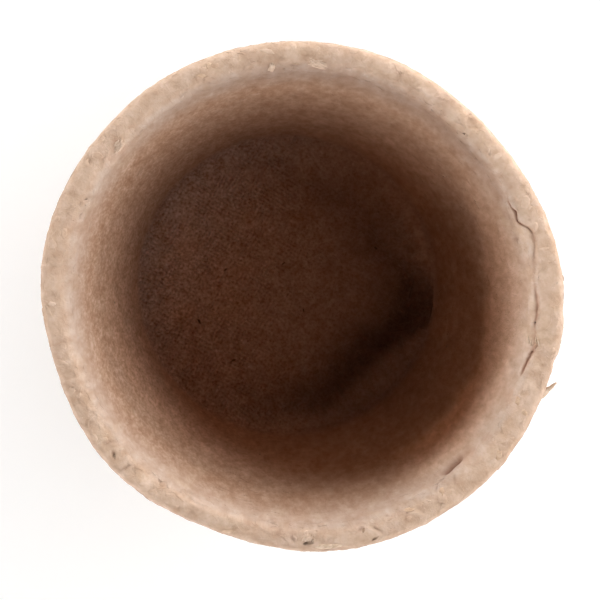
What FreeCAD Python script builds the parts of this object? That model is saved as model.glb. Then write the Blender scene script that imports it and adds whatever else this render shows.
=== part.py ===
import FreeCAD, Part
import math
import os

import Sketcher

# A round seedling pot, moulded in one piece from peat and wood fibre, with the bits of
# wood and bark that the pulp held. All lengths are in millimetres. The origin is on the
# surface that the pot stands on, in the middle of the foot, and +Z points out of the
# mouth. Azimuths are in degrees from +X towards +Y.

doc = FreeCAD.newDocument("peat_pot")

# Driving sizes

SIZES = [
    # The cup
    ("rim_outer_diameter", 60.0, "across the rim, outside"),
    ("pot_height", 60.0, "from the surface it stands on to the top of the rim"),
    ("foot_diameter", 46.0, "across the foot, where the wall meets the ground"),
    ("wall_thickness", 2.2, "wall, measured across"),
    ("floor_thickness", 2.6, "floor at its outer edge"),
    # The rim
    ("rim_width", 3.1, "from the inner to the outer edge of the rim's top"),
    ("rim_band_height", 3.5, "straight outer band below the rim's top"),
    ("rim_band_fade", 8.0, "height over which the band runs into the wall"),
    ("rim_outer_round", 1.0, "rounding of the rim's outer edge"),
    ("rim_inner_round", 1.3, "rounding of the rim's inner edge"),
    # The floor inside, and the foot below it
    ("plateau_diameter", 30.0, "raised middle of the floor"),
    ("plateau_rise", 0.6, "height of the raised middle"),
    ("plateau_slope", 1.6, "width of the slope round the raised middle"),
    ("floor_corner_round", 4.2, "rounding between floor and inner wall"),
    ("dish_diameter", 32.0, "hollow under the floor"),
    ("dish_depth", 0.8, "depth of the hollow under the floor"),
    ("dish_slope", 2.0, "width of the slope round the hollow"),
    ("foot_round", 1.8, "rounding of the foot's outer edge"),
    # The split along the rim, and the gash beside it
    ("crack_inset", 2.55, "from the rim's outer edge to the middle of the split"),
    ("crack_width", 0.4, "opening of the split"),
    ("crack_depth", 1.9, "depth of the split"),
    ("spur_inset", 3.1, "from the rim's outer edge to the split's upper spur"),
    ("spur_width", 0.35, "opening of the spur"),
    ("spur_depth", 1.7, "depth of the spur"),
    ("gash_drop", 1.9, "from the rim's top to the gash in the inner wall"),
    ("gash_height", 0.5, "height of the gash"),
    ("gash_depth", 0.9, "depth of the gash, into the wall"),
    # The crease pressed in the floor, and the pocket at its end
    ("crease_reach", 15.3, "from the pot's axis to the middle of the crease"),
    ("crease_length", 16.0, "crease, from end to end"),
    ("crease_width", 4.4, "crease, across"),
    ("crease_depth", 1.0, "from the raised middle down to the crease's bottom"),
    ("pocket_length", 4.6, "pocket in the floor's corner, along the wall"),
    ("pocket_round", 1.3, "radius of the pocket's section"),
    # The bits of wood and bark
    ("chip_length", 1.5, "wood chip in the rim, along its grain"),
    ("chip_width", 0.7, "wood chip in the rim, across its grain"),
    ("chip_thickness", 0.6, "wood chip in the rim"),
    ("chip_proud", 0.18, "how far a chip stands out of the pulp"),
    ("bundle_length", 2.4, "bundle of pale fibre"),
    ("bundle_width", 1.0, "bundle of pale fibre"),
    ("bundle_thickness", 0.7, "bundle of pale fibre"),
    ("fleck_length", 1.1, "bark fleck"),
    ("fleck_width", 0.5, "bark fleck"),
    ("fleck_thickness", 0.4, "bark fleck"),
    ("fleck_proud", 0.08, "how far a fleck stands out of the pulp"),
    ("sliver_length", 3.8, "long chip along the rim's outer edge"),
    ("sliver_width", 0.6, "long chip along the rim's outer edge"),
    ("sliver_thickness", 0.6, "long chip along the rim's outer edge"),
    ("sliver_inset", 0.75, "from the rim's outer edge to the sliver's middle"),
    ("flake_length", 1.3, "flake beside the split"),
    ("flake_width", 0.4, "flake beside the split"),
    ("flake_thickness", 1.2, "flake beside the split, from its buried edge to its tip"),
    ("flake_proud", 0.3, "how far the flake stands out of the rim"),
    ("whisker_length", 3.9, "splinter at the right, from its buried root to its tip"),
    ("whisker_diameter", 0.5, "splinter at its root"),
    ("whisker_tip_diameter", 0.16, "splinter at its tip"),
    ("whisker_inset", 0.85, "from the rim's outer edge in to the splinter's root"),
    ("whisker_drop", 1.0, "from the rim's top to the splinter"),
    # How far a cut runs past the surface that it opens
    ("overrun", 1.0, "how far a cut runs past a surface"),
]

sizes = doc.addObject("Spreadsheet::Sheet", "sizes")
for row, (alias, value, meaning) in enumerate(SIZES, start=1):
    sizes.set(f"A{row}", alias)
    sizes.set(f"B{row}", str(value))
    sizes.set(f"C{row}", meaning)
    sizes.setAlias(f"B{row}", alias)
doc.recompute()

# Expressions that several pieces share

RIM_RADIUS = "sizes.rim_outer_diameter / 2"
MOUTH_RADIUS = f"({RIM_RADIUS} - sizes.rim_width)"
FOOT_RADIUS = "sizes.foot_diameter / 2"
WALL_TOP_RADIUS = f"({MOUTH_RADIUS} + sizes.wall_thickness)"
FLOOR_RADIUS = f"({FOOT_RADIUS} - sizes.wall_thickness)"
BAND_FOOT = "(sizes.pot_height - sizes.rim_band_height)"
BAND_ROOT = f"({BAND_FOOT} - sizes.rim_band_fade)"
BAND_ROOT_RADIUS = (
    f"({FOOT_RADIUS} + ({WALL_TOP_RADIUS} - {FOOT_RADIUS}) * {BAND_ROOT} / sizes.pot_height)"
)
WALL_HEIGHT = "(sizes.pot_height - sizes.floor_thickness)"
PLATEAU_RADIUS = "sizes.plateau_diameter / 2"
DISH_RADIUS = "sizes.dish_diameter / 2"
FLOOR_RING = f"({FLOOR_RADIUS} - {PLATEAU_RADIUS} - sizes.plateau_slope)"
FOOT_RING = f"({FOOT_RADIUS} - {DISH_RADIUS} - sizes.dish_slope)"


def inner_radius(height):
    """Expression for the inner wall's radius at a height, both in millimetres."""
    share = f"({height} - sizes.floor_thickness) / {WALL_HEIGHT}"
    return f"({FLOOR_RADIUS} + ({MOUTH_RADIUS} - {FLOOR_RADIUS}) * {share})"


# The cup's half section, from the middle of the underside, round the outside, over the
# rim and down to the middle of the floor: radius and height of each corner

SECTION = {
    "dish_middle": ("0", "sizes.dish_depth"),
    "dish_edge": (DISH_RADIUS, "sizes.dish_depth"),
    "foot_inside": (f"{DISH_RADIUS} + sizes.dish_slope", "0"),
    "foot_outside": (FOOT_RADIUS, "0"),
    "band_root": (BAND_ROOT_RADIUS, BAND_ROOT),
    "band_foot": (RIM_RADIUS, BAND_FOOT),
    "rim_outside": (RIM_RADIUS, "sizes.pot_height"),
    "rim_inside": (MOUTH_RADIUS, "sizes.pot_height"),
    "floor_corner": (FLOOR_RADIUS, "sizes.floor_thickness"),
    "plateau_foot": (f"{PLATEAU_RADIUS} + sizes.plateau_slope", "sizes.floor_thickness"),
    "plateau_edge": (PLATEAU_RADIUS, "sizes.floor_thickness + sizes.plateau_rise"),
    "floor_middle": ("0", "sizes.floor_thickness + sizes.plateau_rise"),
}


def value_of(expression):
    """Number that an expression gives with the sheet as it is."""
    return float(sizes.evalExpression(expression.replace("sizes.", "")))


def origin_plane(body, role):
    """The body's own origin plane of that role."""
    return next(item for item in body.Origin.OriginFeatures if item.Role == role)


def outline_sketch(body, name, corners):
    """Closed outline on the body's XZ plane, each corner bound to two expressions."""
    sketch = body.newObject("Sketcher::SketchObject", name)
    sketch.AttachmentSupport = (origin_plane(body, "XZ_Plane"), "")
    sketch.MapMode = "FlatFace"
    points = [FreeCAD.Vector(value_of(r), value_of(z), 0) for r, z in corners.values()]
    count = len(points)
    for index in range(count):
        line = Part.LineSegment(points[index], points[(index + 1) % count])
        sketch.addGeometry(line)
    start, end, origin, horizontal = 1, 2, -1, -1
    for index in range(count):
        sketch.addConstraint(
            Sketcher.Constraint("Coincident", index, end, (index + 1) % count, start))
    for index, (corner, (radius, height)) in enumerate(corners.items()):
        for label, kind, expression in (("radius", "DistanceX", radius),
                                        ("height", "DistanceY", height)):
            if expression == "0" and label == "height":
                sketch.addConstraint(
                    Sketcher.Constraint("PointOnObject", index, start, horizontal))
                continue
            if expression == "0":
                vertical = horizontal - 1
                sketch.addConstraint(
                    Sketcher.Constraint("PointOnObject", index, start, vertical))
                continue
            number = sketch.addConstraint(
                Sketcher.Constraint(kind, origin, start, index, start, value_of(expression)))
            sketch.renameConstraint(number, f"{corner}_{label}")
            sketch.setExpression(f"Constraints.{corner}_{label}", expression)
    doc.recompute()
    return sketch


def round_corners(body, name, radius, corners):
    """Rounds the circular edges that the named corners of the section make."""
    tolerance = sizes.get("overrun") / 1000
    base = body.Tip
    names = []
    for corner in corners:
        reach, height = (value_of(item) for item in SECTION[corner])
        for index, edge in enumerate(base.Shape.Edges, start=1):
            if not isinstance(edge.Curve, Part.Circle):
                continue
            centre = edge.Curve.Center
            level = abs(centre.z - height) < tolerance
            if level and abs(edge.Curve.Radius - reach) < tolerance:
                names.append(f"Edge{index}")
    fillet = body.newObject("PartDesign::Fillet", name)
    fillet.Base = (base, names)
    fillet.setExpression("Radius", radius)
    body.Tip = fillet
    doc.recompute()
    return fillet


def cut_round(body, name, azimuth, sweep, corners):
    """Cuts a slot along the rim: a section, turned about the pot's axis by a sweep."""
    sketch = outline_sketch(body, f"{name}_section", corners)
    sketch.AttachmentOffset = FreeCAD.Placement(
        FreeCAD.Vector(), FreeCAD.Rotation(FreeCAD.Vector(0, 1, 0), azimuth))
    groove = body.newObject("PartDesign::Groove", name)
    groove.Profile = sketch
    groove.ReferenceAxis = (sketch, ["V_Axis"])
    groove.Midplane = True
    groove.Angle = sweep
    sketch.Visibility = False
    body.Tip = groove
    doc.recompute()
    return groove


def slot_corners(radius, width, low, high):
    """Corners of an upright slot's section, round a radius."""
    inside = f"{radius} - {width} / 2"
    outside = f"{radius} + {width} / 2"
    return {
        "low_inside": (inside, low),
        "low_outside": (outside, low),
        "high_outside": (outside, high),
        "high_inside": (inside, high),
    }


# The cup, moulded in one go, then split and gashed as the photographed one is

cup = doc.addObject("PartDesign::Body", "cup")
half_section = outline_sketch(cup, "half_section", SECTION)
turned = cup.newObject("PartDesign::Revolution", "turned")
turned.Profile = half_section
turned.ReferenceAxis = (half_section, ["V_Axis"])
turned.Angle = 360
half_section.Visibility = False
cup.Tip = turned
doc.recompute()

# A rounding beside the raised middle or the hollow takes up the flat ring there at most
FLOOR_ROUND = f"min(sizes.floor_corner_round; {FLOOR_RING})"
FOOT_ROUND = f"min(sizes.foot_round; {FOOT_RING})"

round_corners(cup, "floor_corner", FLOOR_ROUND, ["floor_corner"])
round_corners(cup, "foot_edge", FOOT_ROUND, ["foot_outside"])
round_corners(cup, "rim_inner_edge", "sizes.rim_inner_round", ["rim_inside"])
round_corners(cup, "rim_outer_edge", "sizes.rim_outer_round", ["rim_outside"])

ABOVE_RIM = "sizes.pot_height + sizes.overrun"
CRACK_RADIUS = f"({RIM_RADIUS} - sizes.crack_inset)"
SPUR_RADIUS = f"({RIM_RADIUS} - sizes.spur_inset)"
GASH_LEVEL = "(sizes.pot_height - sizes.gash_drop)"

# Azimuth of the middle of each cut, and how far round it runs, in degrees
CRACK_AZIMUTH, CRACK_SWEEP = -1.5, 37.0
SPUR_AZIMUTH, SPUR_SWEEP = 23.0, 10.0
GASH_AZIMUTH, GASH_SWEEP = -48.3, 6.0

cut_round(cup, "rim_crack", CRACK_AZIMUTH, CRACK_SWEEP, slot_corners(
    CRACK_RADIUS, "sizes.crack_width", "sizes.pot_height - sizes.crack_depth", ABOVE_RIM))
cut_round(cup, "crack_spur", SPUR_AZIMUTH, SPUR_SWEEP, slot_corners(
    SPUR_RADIUS, "sizes.spur_width", "sizes.pot_height - sizes.spur_depth", ABOVE_RIM))
cut_round(cup, "wall_gash", GASH_AZIMUTH, GASH_SWEEP, {
    "low_inside": (f"{MOUTH_RADIUS} - sizes.overrun", f"{GASH_LEVEL} - sizes.gash_height / 2"),
    "deepest": (f"{MOUTH_RADIUS} + sizes.gash_depth", GASH_LEVEL),
    "high_inside": (f"{MOUTH_RADIUS} - sizes.overrun", f"{GASH_LEVEL} + sizes.gash_height / 2"),
})

# The crease, an eggshell of a dent: how much of the egg's half height sinks in the floor,
# and the egg's spread where the floor cuts it, as a share of its full width

SUNK_SHARE = 0.2
SPREAD_SHARE = math.sqrt(1 - (1 - SUNK_SHARE) ** 2)
CREASE_AZIMUTH = -54.0
POCKET_AZIMUTH = -7.0


def dent(name, azimuth, reach, height, half_height, half_length, half_width):
    """Egg that presses a dent, its length along the wall at an azimuth."""
    egg = doc.addObject("Part::Ellipsoid", name)
    egg.setExpression("Radius1", half_height)
    egg.setExpression("Radius2", half_length)
    egg.setExpression("Radius3", half_width)
    turn = FreeCAD.Rotation(FreeCAD.Vector(0, 0, 1), azimuth + 90)
    egg.Placement = FreeCAD.Placement(FreeCAD.Vector(), turn)
    egg.setExpression("Placement.Base.x", f"({reach}) * cos({azimuth} deg)")
    egg.setExpression("Placement.Base.y", f"({reach}) * sin({azimuth} deg)")
    egg.setExpression("Placement.Base.z", height)
    return egg


def pressed(name, base, egg):
    """The base with an egg's dent in it."""
    cut = doc.addObject("Part::Cut", name)
    cut.Base = base
    cut.Tool = egg
    doc.recompute()
    return cut


CREASE_HALF_HEIGHT = f"(sizes.crease_depth / {SUNK_SHARE})"
CREASE_LEVEL = (
    f"sizes.floor_thickness + sizes.plateau_rise - sizes.crease_depth + {CREASE_HALF_HEIGHT}"
)
crease_egg = dent("crease_egg", CREASE_AZIMUTH, "sizes.crease_reach", CREASE_LEVEL,
                  CREASE_HALF_HEIGHT, f"sizes.crease_length / 2 / {SPREAD_SHARE}",
                  f"sizes.crease_width / 2 / {SPREAD_SHARE}")
creased_cup = pressed("creased_cup", cup, crease_egg)

# The pocket lies half way up the rounding between the floor and the wall
POCKET_REACH = f"{FLOOR_RADIUS} - {FLOOR_ROUND} * (1 - sin(45 deg))"
POCKET_LEVEL = f"sizes.floor_thickness + {FLOOR_ROUND} * (1 - cos(45 deg))"
pocket_egg = dent("pocket_egg", POCKET_AZIMUTH, POCKET_REACH, POCKET_LEVEL,
                  "sizes.pocket_round", "sizes.pocket_length / 2", "sizes.pocket_round")
pressed_cup = pressed("pressed_cup", creased_cup, pocket_egg)

# Seats of the bits of wood and bark: where the pulp's surface is, as radius and height,
# with the way out of the pulp as a lean from straight up towards the pot's axis


def on_rim(share):
    """On the flat of the rim, 0 at its outer end and 1 at its inner end."""
    flat = "(sizes.rim_width - sizes.rim_outer_round - sizes.rim_inner_round)"
    return f"{RIM_RADIUS} - sizes.rim_outer_round - {flat} * {share}", "sizes.pot_height", 0.0


def on_inner_edge(lean):
    """On the rounding of the rim's inner edge."""
    middle = f"({MOUTH_RADIUS} + sizes.rim_inner_round)"
    level = "(sizes.pot_height - sizes.rim_inner_round)"
    return (f"{middle} - sizes.rim_inner_round * sin({lean} deg)",
            f"{level} + sizes.rim_inner_round * cos({lean} deg)", lean)


def on_outer_edge(lean):
    """On the rounding of the rim's outer edge, where the lean is outwards."""
    middle = f"({RIM_RADIUS} - sizes.rim_outer_round)"
    level = "(sizes.pot_height - sizes.rim_outer_round)"
    return (f"{middle} + sizes.rim_outer_round * sin({lean} deg)",
            f"{level} + sizes.rim_outer_round * cos({lean} deg)", -lean)


def on_wall(share):
    """On the inner wall, 0 at the floor and 1 at the rim's top."""
    height = f"(sizes.floor_thickness + {WALL_HEIGHT} * {share})"
    rise = value_of(WALL_HEIGHT)
    slope = math.degrees(math.atan((value_of(MOUTH_RADIUS) - value_of(FLOOR_RADIUS)) / rise))
    return inner_radius(height), height, 90.0 - slope


def on_plateau(share):
    """On the raised middle of the floor, 0 at its middle and 1 at its edge."""
    return (f"{PLATEAU_RADIUS} * {share}", "sizes.floor_thickness + sizes.plateau_rise", 0.0)


def set_at(piece, azimuth, seat, turn):
    """Sets a piece at a seat: its Y points out of the pulp, its X along the rim plus a turn."""
    radius, height, lean = seat
    around = math.radians(azimuth)
    tilt = math.radians(lean)
    outward = FreeCAD.Vector(math.cos(around), math.sin(around), 0)
    along = FreeCAD.Vector(-math.sin(around), math.cos(around), 0)
    normal = FreeCAD.Vector(0, 0, 1) * math.cos(tilt) - outward * math.sin(tilt)
    seated = FreeCAD.Rotation(along, normal, along.cross(normal), "YXZ")
    spin = FreeCAD.Rotation(FreeCAD.Vector(0, 1, 0), turn)
    piece.Placement = FreeCAD.Placement(FreeCAD.Vector(), seated.multiply(spin))
    piece.setExpression("Placement.Base.x", f"({radius}) * cos({azimuth} deg)")
    piece.setExpression("Placement.Base.y", f"({radius}) * sin({azimuth} deg)")
    piece.setExpression("Placement.Base.z", height)


def chip(name, kind, proud, length_share, width_share, top_share):
    """Chip that tapers out of the pulp, its Y at 0 on the pulp's surface."""
    piece = doc.addObject("Part::Wedge", name)
    length = f"sizes.{kind}_length * {length_share} / 2"
    width = f"sizes.{kind}_width * {width_share} / 2"
    piece.setExpression("Ymin", f"sizes.{proud} - sizes.{kind}_thickness")
    piece.setExpression("Ymax", f"sizes.{proud}")
    for axis, half in (("X", length), ("Z", width)):
        piece.setExpression(f"{axis}min", f"-{half}")
        piece.setExpression(f"{axis}max", half)
        piece.setExpression(f"{axis}2min", f"-{half} * {top_share}")
        piece.setExpression(f"{axis}2max", f"{half} * {top_share}")
    return piece


def chip_group(node, kind, proud, places):
    """One node of separate chips of a kind, each at its own place."""
    pieces = []
    for number, (azimuth, seat, turn, length_share, width_share) in enumerate(places, start=1):
        piece = chip(f"{node}_{number}", kind, proud, length_share, width_share, CHIP_TOP_SHARE)
        set_at(piece, azimuth, seat, turn)
        pieces.append(piece)
    group = doc.addObject("Part::Compound", node)
    group.Links = pieces
    return group


# A chip's top, as a share of its base
CHIP_TOP_SHARE = 0.7

# Places of the chips, bundles and flecks: azimuth, seat, turn from along the rim, and the
# length and width as shares of their kind's

RIM_CHIP_SHARES = [
    (-54.2, on_inner_edge(30), 55, 1.0, 0.8),
    (-63.5, on_inner_edge(35), -20, 1.1, 0.9),
    (-25.7, on_inner_edge(35), 15, 0.8, 0.9),
    (-27.4, on_rim(0.4), 70, 0.9, 0.7),
    (-38.8, on_rim(0.1), 30, 1.0, 1.0),
    (-107.9, on_outer_edge(25), 20, 1.0, 0.8),
    (114.7, on_rim(1.0), -35, 0.9, 0.9),
    (112.2, on_rim(0.0), 25, 0.7, 0.7),
]
FIBRE_BUNDLE_SHARES = [
    (-89.0, on_rim(0.8), 40, 0.6, 1.1),
    (86.6, on_inner_edge(38), -20, 1.0, 0.8),
    (97.9, on_inner_edge(66), 80, 0.6, 0.7),
    (140.5, on_inner_edge(42), 5, 0.7, 0.7),
]
BARK_FLECK_SHARES = [
    (91.8, on_inner_edge(48), -10, 1.1, 1.0),
    (-73.3, on_outer_edge(15), 15, 1.0, 0.9),
    (-140.2, on_rim(0.5), -40, 1.0, 1.0),
    (-75.4, on_inner_edge(12), 60, 0.7, 0.8),
]
WALL_FLECK_SHARES = [
    (39.3, on_wall(0.94), 5, 1.3, 0.9),
    (69.8, on_wall(0.938), -8, 1.0, 0.8),
    (14.5, on_wall(0.93), 20, 0.8, 0.9),
    (142.9, on_wall(0.654), 35, 1.2, 0.7),
    (-176.0, on_wall(0.45), 60, 0.6, 0.8),
    (-101.0, on_wall(0.36), 75, 0.7, 0.8),
]
FLOOR_FLECK_SHARES = [
    (21.9, on_plateau(0.93), 20, 0.7, 1.0),
    (167.0, on_plateau(0.61), -30, 0.8, 0.8),
    (-125.0, on_plateau(0.9), 55, 0.9, 0.8),
    (100.0, on_plateau(0.2), 15, 0.7, 0.8),
    (-58.0, on_plateau(0.3), 80, 0.6, 0.8),
    (-157.0, on_plateau(0.92), 10, 0.9, 0.9),
]

rim_chips = chip_group("rim_chips", "chip", "chip_proud", RIM_CHIP_SHARES)
fibre_bundles = chip_group("fibre_bundles", "bundle", "chip_proud", FIBRE_BUNDLE_SHARES)
bark_flecks = chip_group("bark_flecks", "fleck", "fleck_proud", BARK_FLECK_SHARES)
wall_flecks = chip_group("wall_flecks", "fleck", "fleck_proud", WALL_FLECK_SHARES)
floor_flecks = chip_group("floor_flecks", "fleck", "fleck_proud", FLOOR_FLECK_SHARES)

# The long chip along the rim's lower outer edge

SLIVER_AZIMUTH, SLIVER_TURN = -84.2, 2.0
SLIVER_TOP_SHARE = 0.6
edge_sliver = chip("edge_sliver", "sliver", "chip_proud", 1, 1, SLIVER_TOP_SHARE)
SLIVER_SEAT = (f"{RIM_RADIUS} - sizes.sliver_inset", "sizes.pot_height", 0.0)
set_at(edge_sliver, SLIVER_AZIMUTH, SLIVER_SEAT, SLIVER_TURN)

# The flake that stands beside the split, on the side of the mouth

FLAKE_AZIMUTH, FLAKE_TURN = -10.6, 4.0
FLAKE_TOP_SHARE = 0.5
crack_flake = chip("crack_flake", "flake", "flake_proud", 1, 1, FLAKE_TOP_SHARE)
FLAKE_RADIUS = f"{CRACK_RADIUS} - sizes.crack_width / 2 - sizes.flake_width / 2"
set_at(crack_flake, FLAKE_AZIMUTH, (FLAKE_RADIUS, "sizes.pot_height", 0.0), FLAKE_TURN)

# The splinter that sticks out of the rim at the right, swept round towards +Y

WHISKER_AZIMUTH, WHISKER_HEADING, WHISKER_DIP = -24.5, 32.0, 3.0
rim_whisker = doc.addObject("Part::Cone", "rim_whisker")
rim_whisker.setExpression("Radius1", "sizes.whisker_diameter / 2")
rim_whisker.setExpression("Radius2", "sizes.whisker_tip_diameter / 2")
rim_whisker.setExpression("Height", "sizes.whisker_length")
heading = FreeCAD.Rotation(FreeCAD.Vector(0, 0, 1), WHISKER_HEADING)
lying = FreeCAD.Rotation(FreeCAD.Vector(0, 1, 0), 90.0 + WHISKER_DIP)
rim_whisker.Placement = FreeCAD.Placement(FreeCAD.Vector(), heading.multiply(lying))
WHISKER_RADIUS = f"({RIM_RADIUS} - sizes.whisker_inset)"
rim_whisker.setExpression("Placement.Base.x", f"{WHISKER_RADIUS} * cos({WHISKER_AZIMUTH} deg)")
rim_whisker.setExpression("Placement.Base.y", f"{WHISKER_RADIUS} * sin({WHISKER_AZIMUTH} deg)")
rim_whisker.setExpression("Placement.Base.z", "sizes.pot_height - sizes.whisker_drop")

# The pulp closes round everything that it holds

held = [rim_chips, fibre_bundles, bark_flecks, wall_flecks, floor_flecks,
        edge_sliver, crack_flake, rim_whisker]
inlays = doc.addObject("Part::Compound", "inlays")
inlays.Links = held
pot_body = doc.addObject("Part::Cut", "pot_body")
pot_body.Base = pressed_cup
pot_body.Tool = inlays
doc.recompute()

# Checks of every object, then one file for each piece

nodes = [pot_body] + held
for item in doc.Objects:
    faults = [state for state in item.State if state in ("Invalid", "Error")]
    if faults:
        raise RuntimeError(f"{item.Label}: {faults}")
os.makedirs("parts", exist_ok=True)
for node in nodes:
    if node.Shape.isNull() or not node.Shape.isValid():
        raise RuntimeError(f"{node.Label} has no sound shape")
for node in nodes:
    node.Shape.exportStep(f"parts/{node.Label}.step")
    box = node.Shape.BoundBox
    print(node.Label, len(node.Shape.Solids), "solids,", round(node.Shape.Volume, 3), "mm3,",
          [round(limit, 2) for limit in (box.XMin, box.YMin, box.ZMin, box.XMax, box.YMax, box.ZMax)])
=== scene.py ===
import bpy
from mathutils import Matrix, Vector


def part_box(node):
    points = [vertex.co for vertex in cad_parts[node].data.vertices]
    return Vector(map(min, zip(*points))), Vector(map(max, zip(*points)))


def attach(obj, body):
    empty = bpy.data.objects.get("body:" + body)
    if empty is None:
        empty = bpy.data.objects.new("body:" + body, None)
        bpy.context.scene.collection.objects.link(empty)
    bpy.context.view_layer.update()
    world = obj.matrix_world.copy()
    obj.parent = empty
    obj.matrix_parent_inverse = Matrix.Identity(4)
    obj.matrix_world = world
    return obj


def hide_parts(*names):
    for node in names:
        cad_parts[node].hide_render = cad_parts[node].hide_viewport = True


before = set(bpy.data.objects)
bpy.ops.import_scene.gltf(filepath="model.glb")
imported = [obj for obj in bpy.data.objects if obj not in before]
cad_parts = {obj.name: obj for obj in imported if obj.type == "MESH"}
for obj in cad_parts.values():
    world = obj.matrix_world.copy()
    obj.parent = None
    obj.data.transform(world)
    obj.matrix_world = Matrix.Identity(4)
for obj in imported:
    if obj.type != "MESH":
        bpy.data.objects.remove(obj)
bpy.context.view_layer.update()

import itertools
import math

import bpy
import numpy as np
from mathutils import Matrix, Vector

# A round seedling pot, moulded from peat and wood fibre, standing open upwards.
# Lengths are in millimetres until a mesh is made, azimuths in degrees from +X to +Y.
# The surface is worked out by one function, so that every fibre and chip lies on it.

MM = 0.001
BODY = "root"

# Sizes: the pot's own from the frame, and the section's as the pot is moulded

pot_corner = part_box("pot_body")[1]
RIM_RADIUS = pot_corner.x / MM
HEIGHT = pot_corner.z / MM

FOOT_RADIUS = 23.0
WALL = 2.2
FLOOR = 2.6
RIM_WIDTH = 3.1
BAND_HEIGHT = 3.5
BAND_FADE = 8.0
RIM_OUTER_ROUND = 1.0
RIM_INNER_ROUND = 1.8
FLOOR_CORNER_ROUND = 4.2
DISH_RADIUS = 16.0
DISH_DEPTH = 0.8
DISH_SLOPE = 2.0
DISH_ROUND = 1.5
FOOT_ROUND = 1.8
BAND_ROUND = 9.0
PLATEAU_RISE = 0.6
PLATEAU_SLOPE = 4.0

MOUTH_RADIUS = RIM_RADIUS - RIM_WIDTH
FLOOR_RADIUS = FOOT_RADIUS - WALL
BAND_FOOT = HEIGHT - BAND_HEIGHT
BAND_ROOT = BAND_FOOT - BAND_FADE
WALL_TOP_RADIUS = MOUTH_RADIUS + WALL
BAND_ROOT_RADIUS = FOOT_RADIUS + (WALL_TOP_RADIUS - FOOT_RADIUS) * BAND_ROOT / HEIGHT

# The half section from the middle of the underside, round the outside, over the rim and
# down to the middle of the floor: name, radius, height and rounding of each corner

SECTION = [
    ("dish_middle", 0.0, DISH_DEPTH, 0.0),
    ("dish_edge", DISH_RADIUS, DISH_DEPTH, DISH_ROUND),
    ("foot_inside", DISH_RADIUS + DISH_SLOPE, 0.0, DISH_ROUND),
    ("foot_outside", FOOT_RADIUS, 0.0, FOOT_ROUND),
    ("band_root", BAND_ROOT_RADIUS, BAND_ROOT, BAND_ROUND),
    ("band_foot", RIM_RADIUS, BAND_FOOT, BAND_ROUND),
    ("rim_outside", RIM_RADIUS, HEIGHT, RIM_OUTER_ROUND),
    ("rim_inside", MOUTH_RADIUS, HEIGHT, RIM_INNER_ROUND),
    ("floor_corner", FLOOR_RADIUS, FLOOR, FLOOR_CORNER_ROUND),
    ("floor_middle", 0.0, FLOOR, 0.0),
]
ARC_STEP = math.radians(5)


def rounded_outline(section):
    """Points along the section, with its corners rounded, and where each rounding lies."""
    points = [np.array(section[0][1:3])]
    marks = {}
    for index in range(1, len(section) - 1):
        name, radius, height, rounding = section[index]
        corner = np.array((radius, height))
        before = np.array(section[index - 1][1:3]) - corner
        after = np.array(section[index + 1][1:3]) - corner
        before, after = (way / np.linalg.norm(way) for way in (before, after))
        opening = math.acos(np.clip(before @ after, -1, 1))
        reach = rounding / math.tan(opening / 2)
        middle_way = (before + after) / np.linalg.norm(before + after)
        centre = corner + middle_way * rounding / math.sin(opening / 2)
        first, last = corner + before * reach, corner + after * reach
        turn = math.pi - opening
        steps = max(3, int(turn / ARC_STEP))
        start = len(points)
        for share in np.linspace(0, 1, steps + 1):
            arm = ((first - centre) * math.sin((1 - share) * turn)
                   + (last - centre) * math.sin(share * turn)) / math.sin(turn)
            points.append(centre + arm)
        marks[name] = [start, len(points) - 1]
    points.append(np.array(section[-1][1:3]))
    return np.array(points), marks


outline, marks = rounded_outline(SECTION)
along_outline = np.concatenate(
    [[0], np.cumsum(np.linalg.norm(np.diff(outline, axis=0), axis=1))])
OUTLINE_END = along_outline[-1]

# Stations, where the roundings start and end along the outline: the rim runs from RIM_START
# to RIM_END, its flat top from TOP_START to TOP_END, and the inner wall on to WALL_END

_, FOOT_INSIDE_END = along_outline[marks["foot_inside"]]
FOOT_START, FOOT_END = along_outline[marks["foot_outside"]]
_, BAND_ROOT_END = along_outline[marks["band_root"]]
BAND_START, BAND_END = along_outline[marks["band_foot"]]
RIM_START, TOP_START = along_outline[marks["rim_outside"]]
TOP_END, RIM_END = along_outline[marks["rim_inside"]]
WALL_END, _ = along_outline[marks["floor_corner"]]

# The outline again at even steps, with its outward normals evened out a little

FINE_STEP = 0.05
EVEN_NORMAL = 0.25
fine_s = np.arange(0, OUTLINE_END, FINE_STEP)
fine_radius = np.interp(fine_s, along_outline, outline[:, 0])
fine_height = np.interp(fine_s, along_outline, outline[:, 1])
kernel = np.ones(2 * round(EVEN_NORMAL / FINE_STEP) + 1)


def evened(values):
    padded = np.pad(values, len(kernel) // 2, mode="edge")
    return np.convolve(padded, kernel / kernel.sum(), mode="valid")


slope_radius = evened(np.gradient(fine_radius, fine_s))
slope_height = evened(np.gradient(fine_height, fine_s))
slope_length = np.hypot(slope_radius, slope_height)
fine_normal_radius = slope_height / slope_length
fine_normal_height = -slope_radius / slope_length


def smooth(values):
    """From 0 to 1 as the values do, with soft ends."""
    share = np.clip(values, 0, 1)
    return share * share * (3 - 2 * share)


def between(s, start, end, fade):
    """1 from start to end along the outline, and 0 past the fades beyond them."""
    return smooth((s - start) / fade + 1) * smooth((end - s) / fade + 1)


def rising(s, start, fade):
    """From 0 at a station to 1 where the fade beyond it ends."""
    return smooth((s - start) / fade)


def falling(s, end, fade):
    """From 1 to 0 at a station, over the fade before it."""
    return smooth((end - s) / fade)


def facing(azimuth, middle, start, fade):
    """1 on the side round a middle azimuth, and 0 where the cosine from it is below start."""
    return smooth((np.cos(azimuth - math.radians(middle)) - start) / fade)


def turn_from(degrees, azimuth):
    """The angle from an azimuth in degrees to others in radians, the short way round."""
    return (azimuth - math.radians(degrees) + math.pi) % (2 * math.pi) - math.pi


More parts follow.
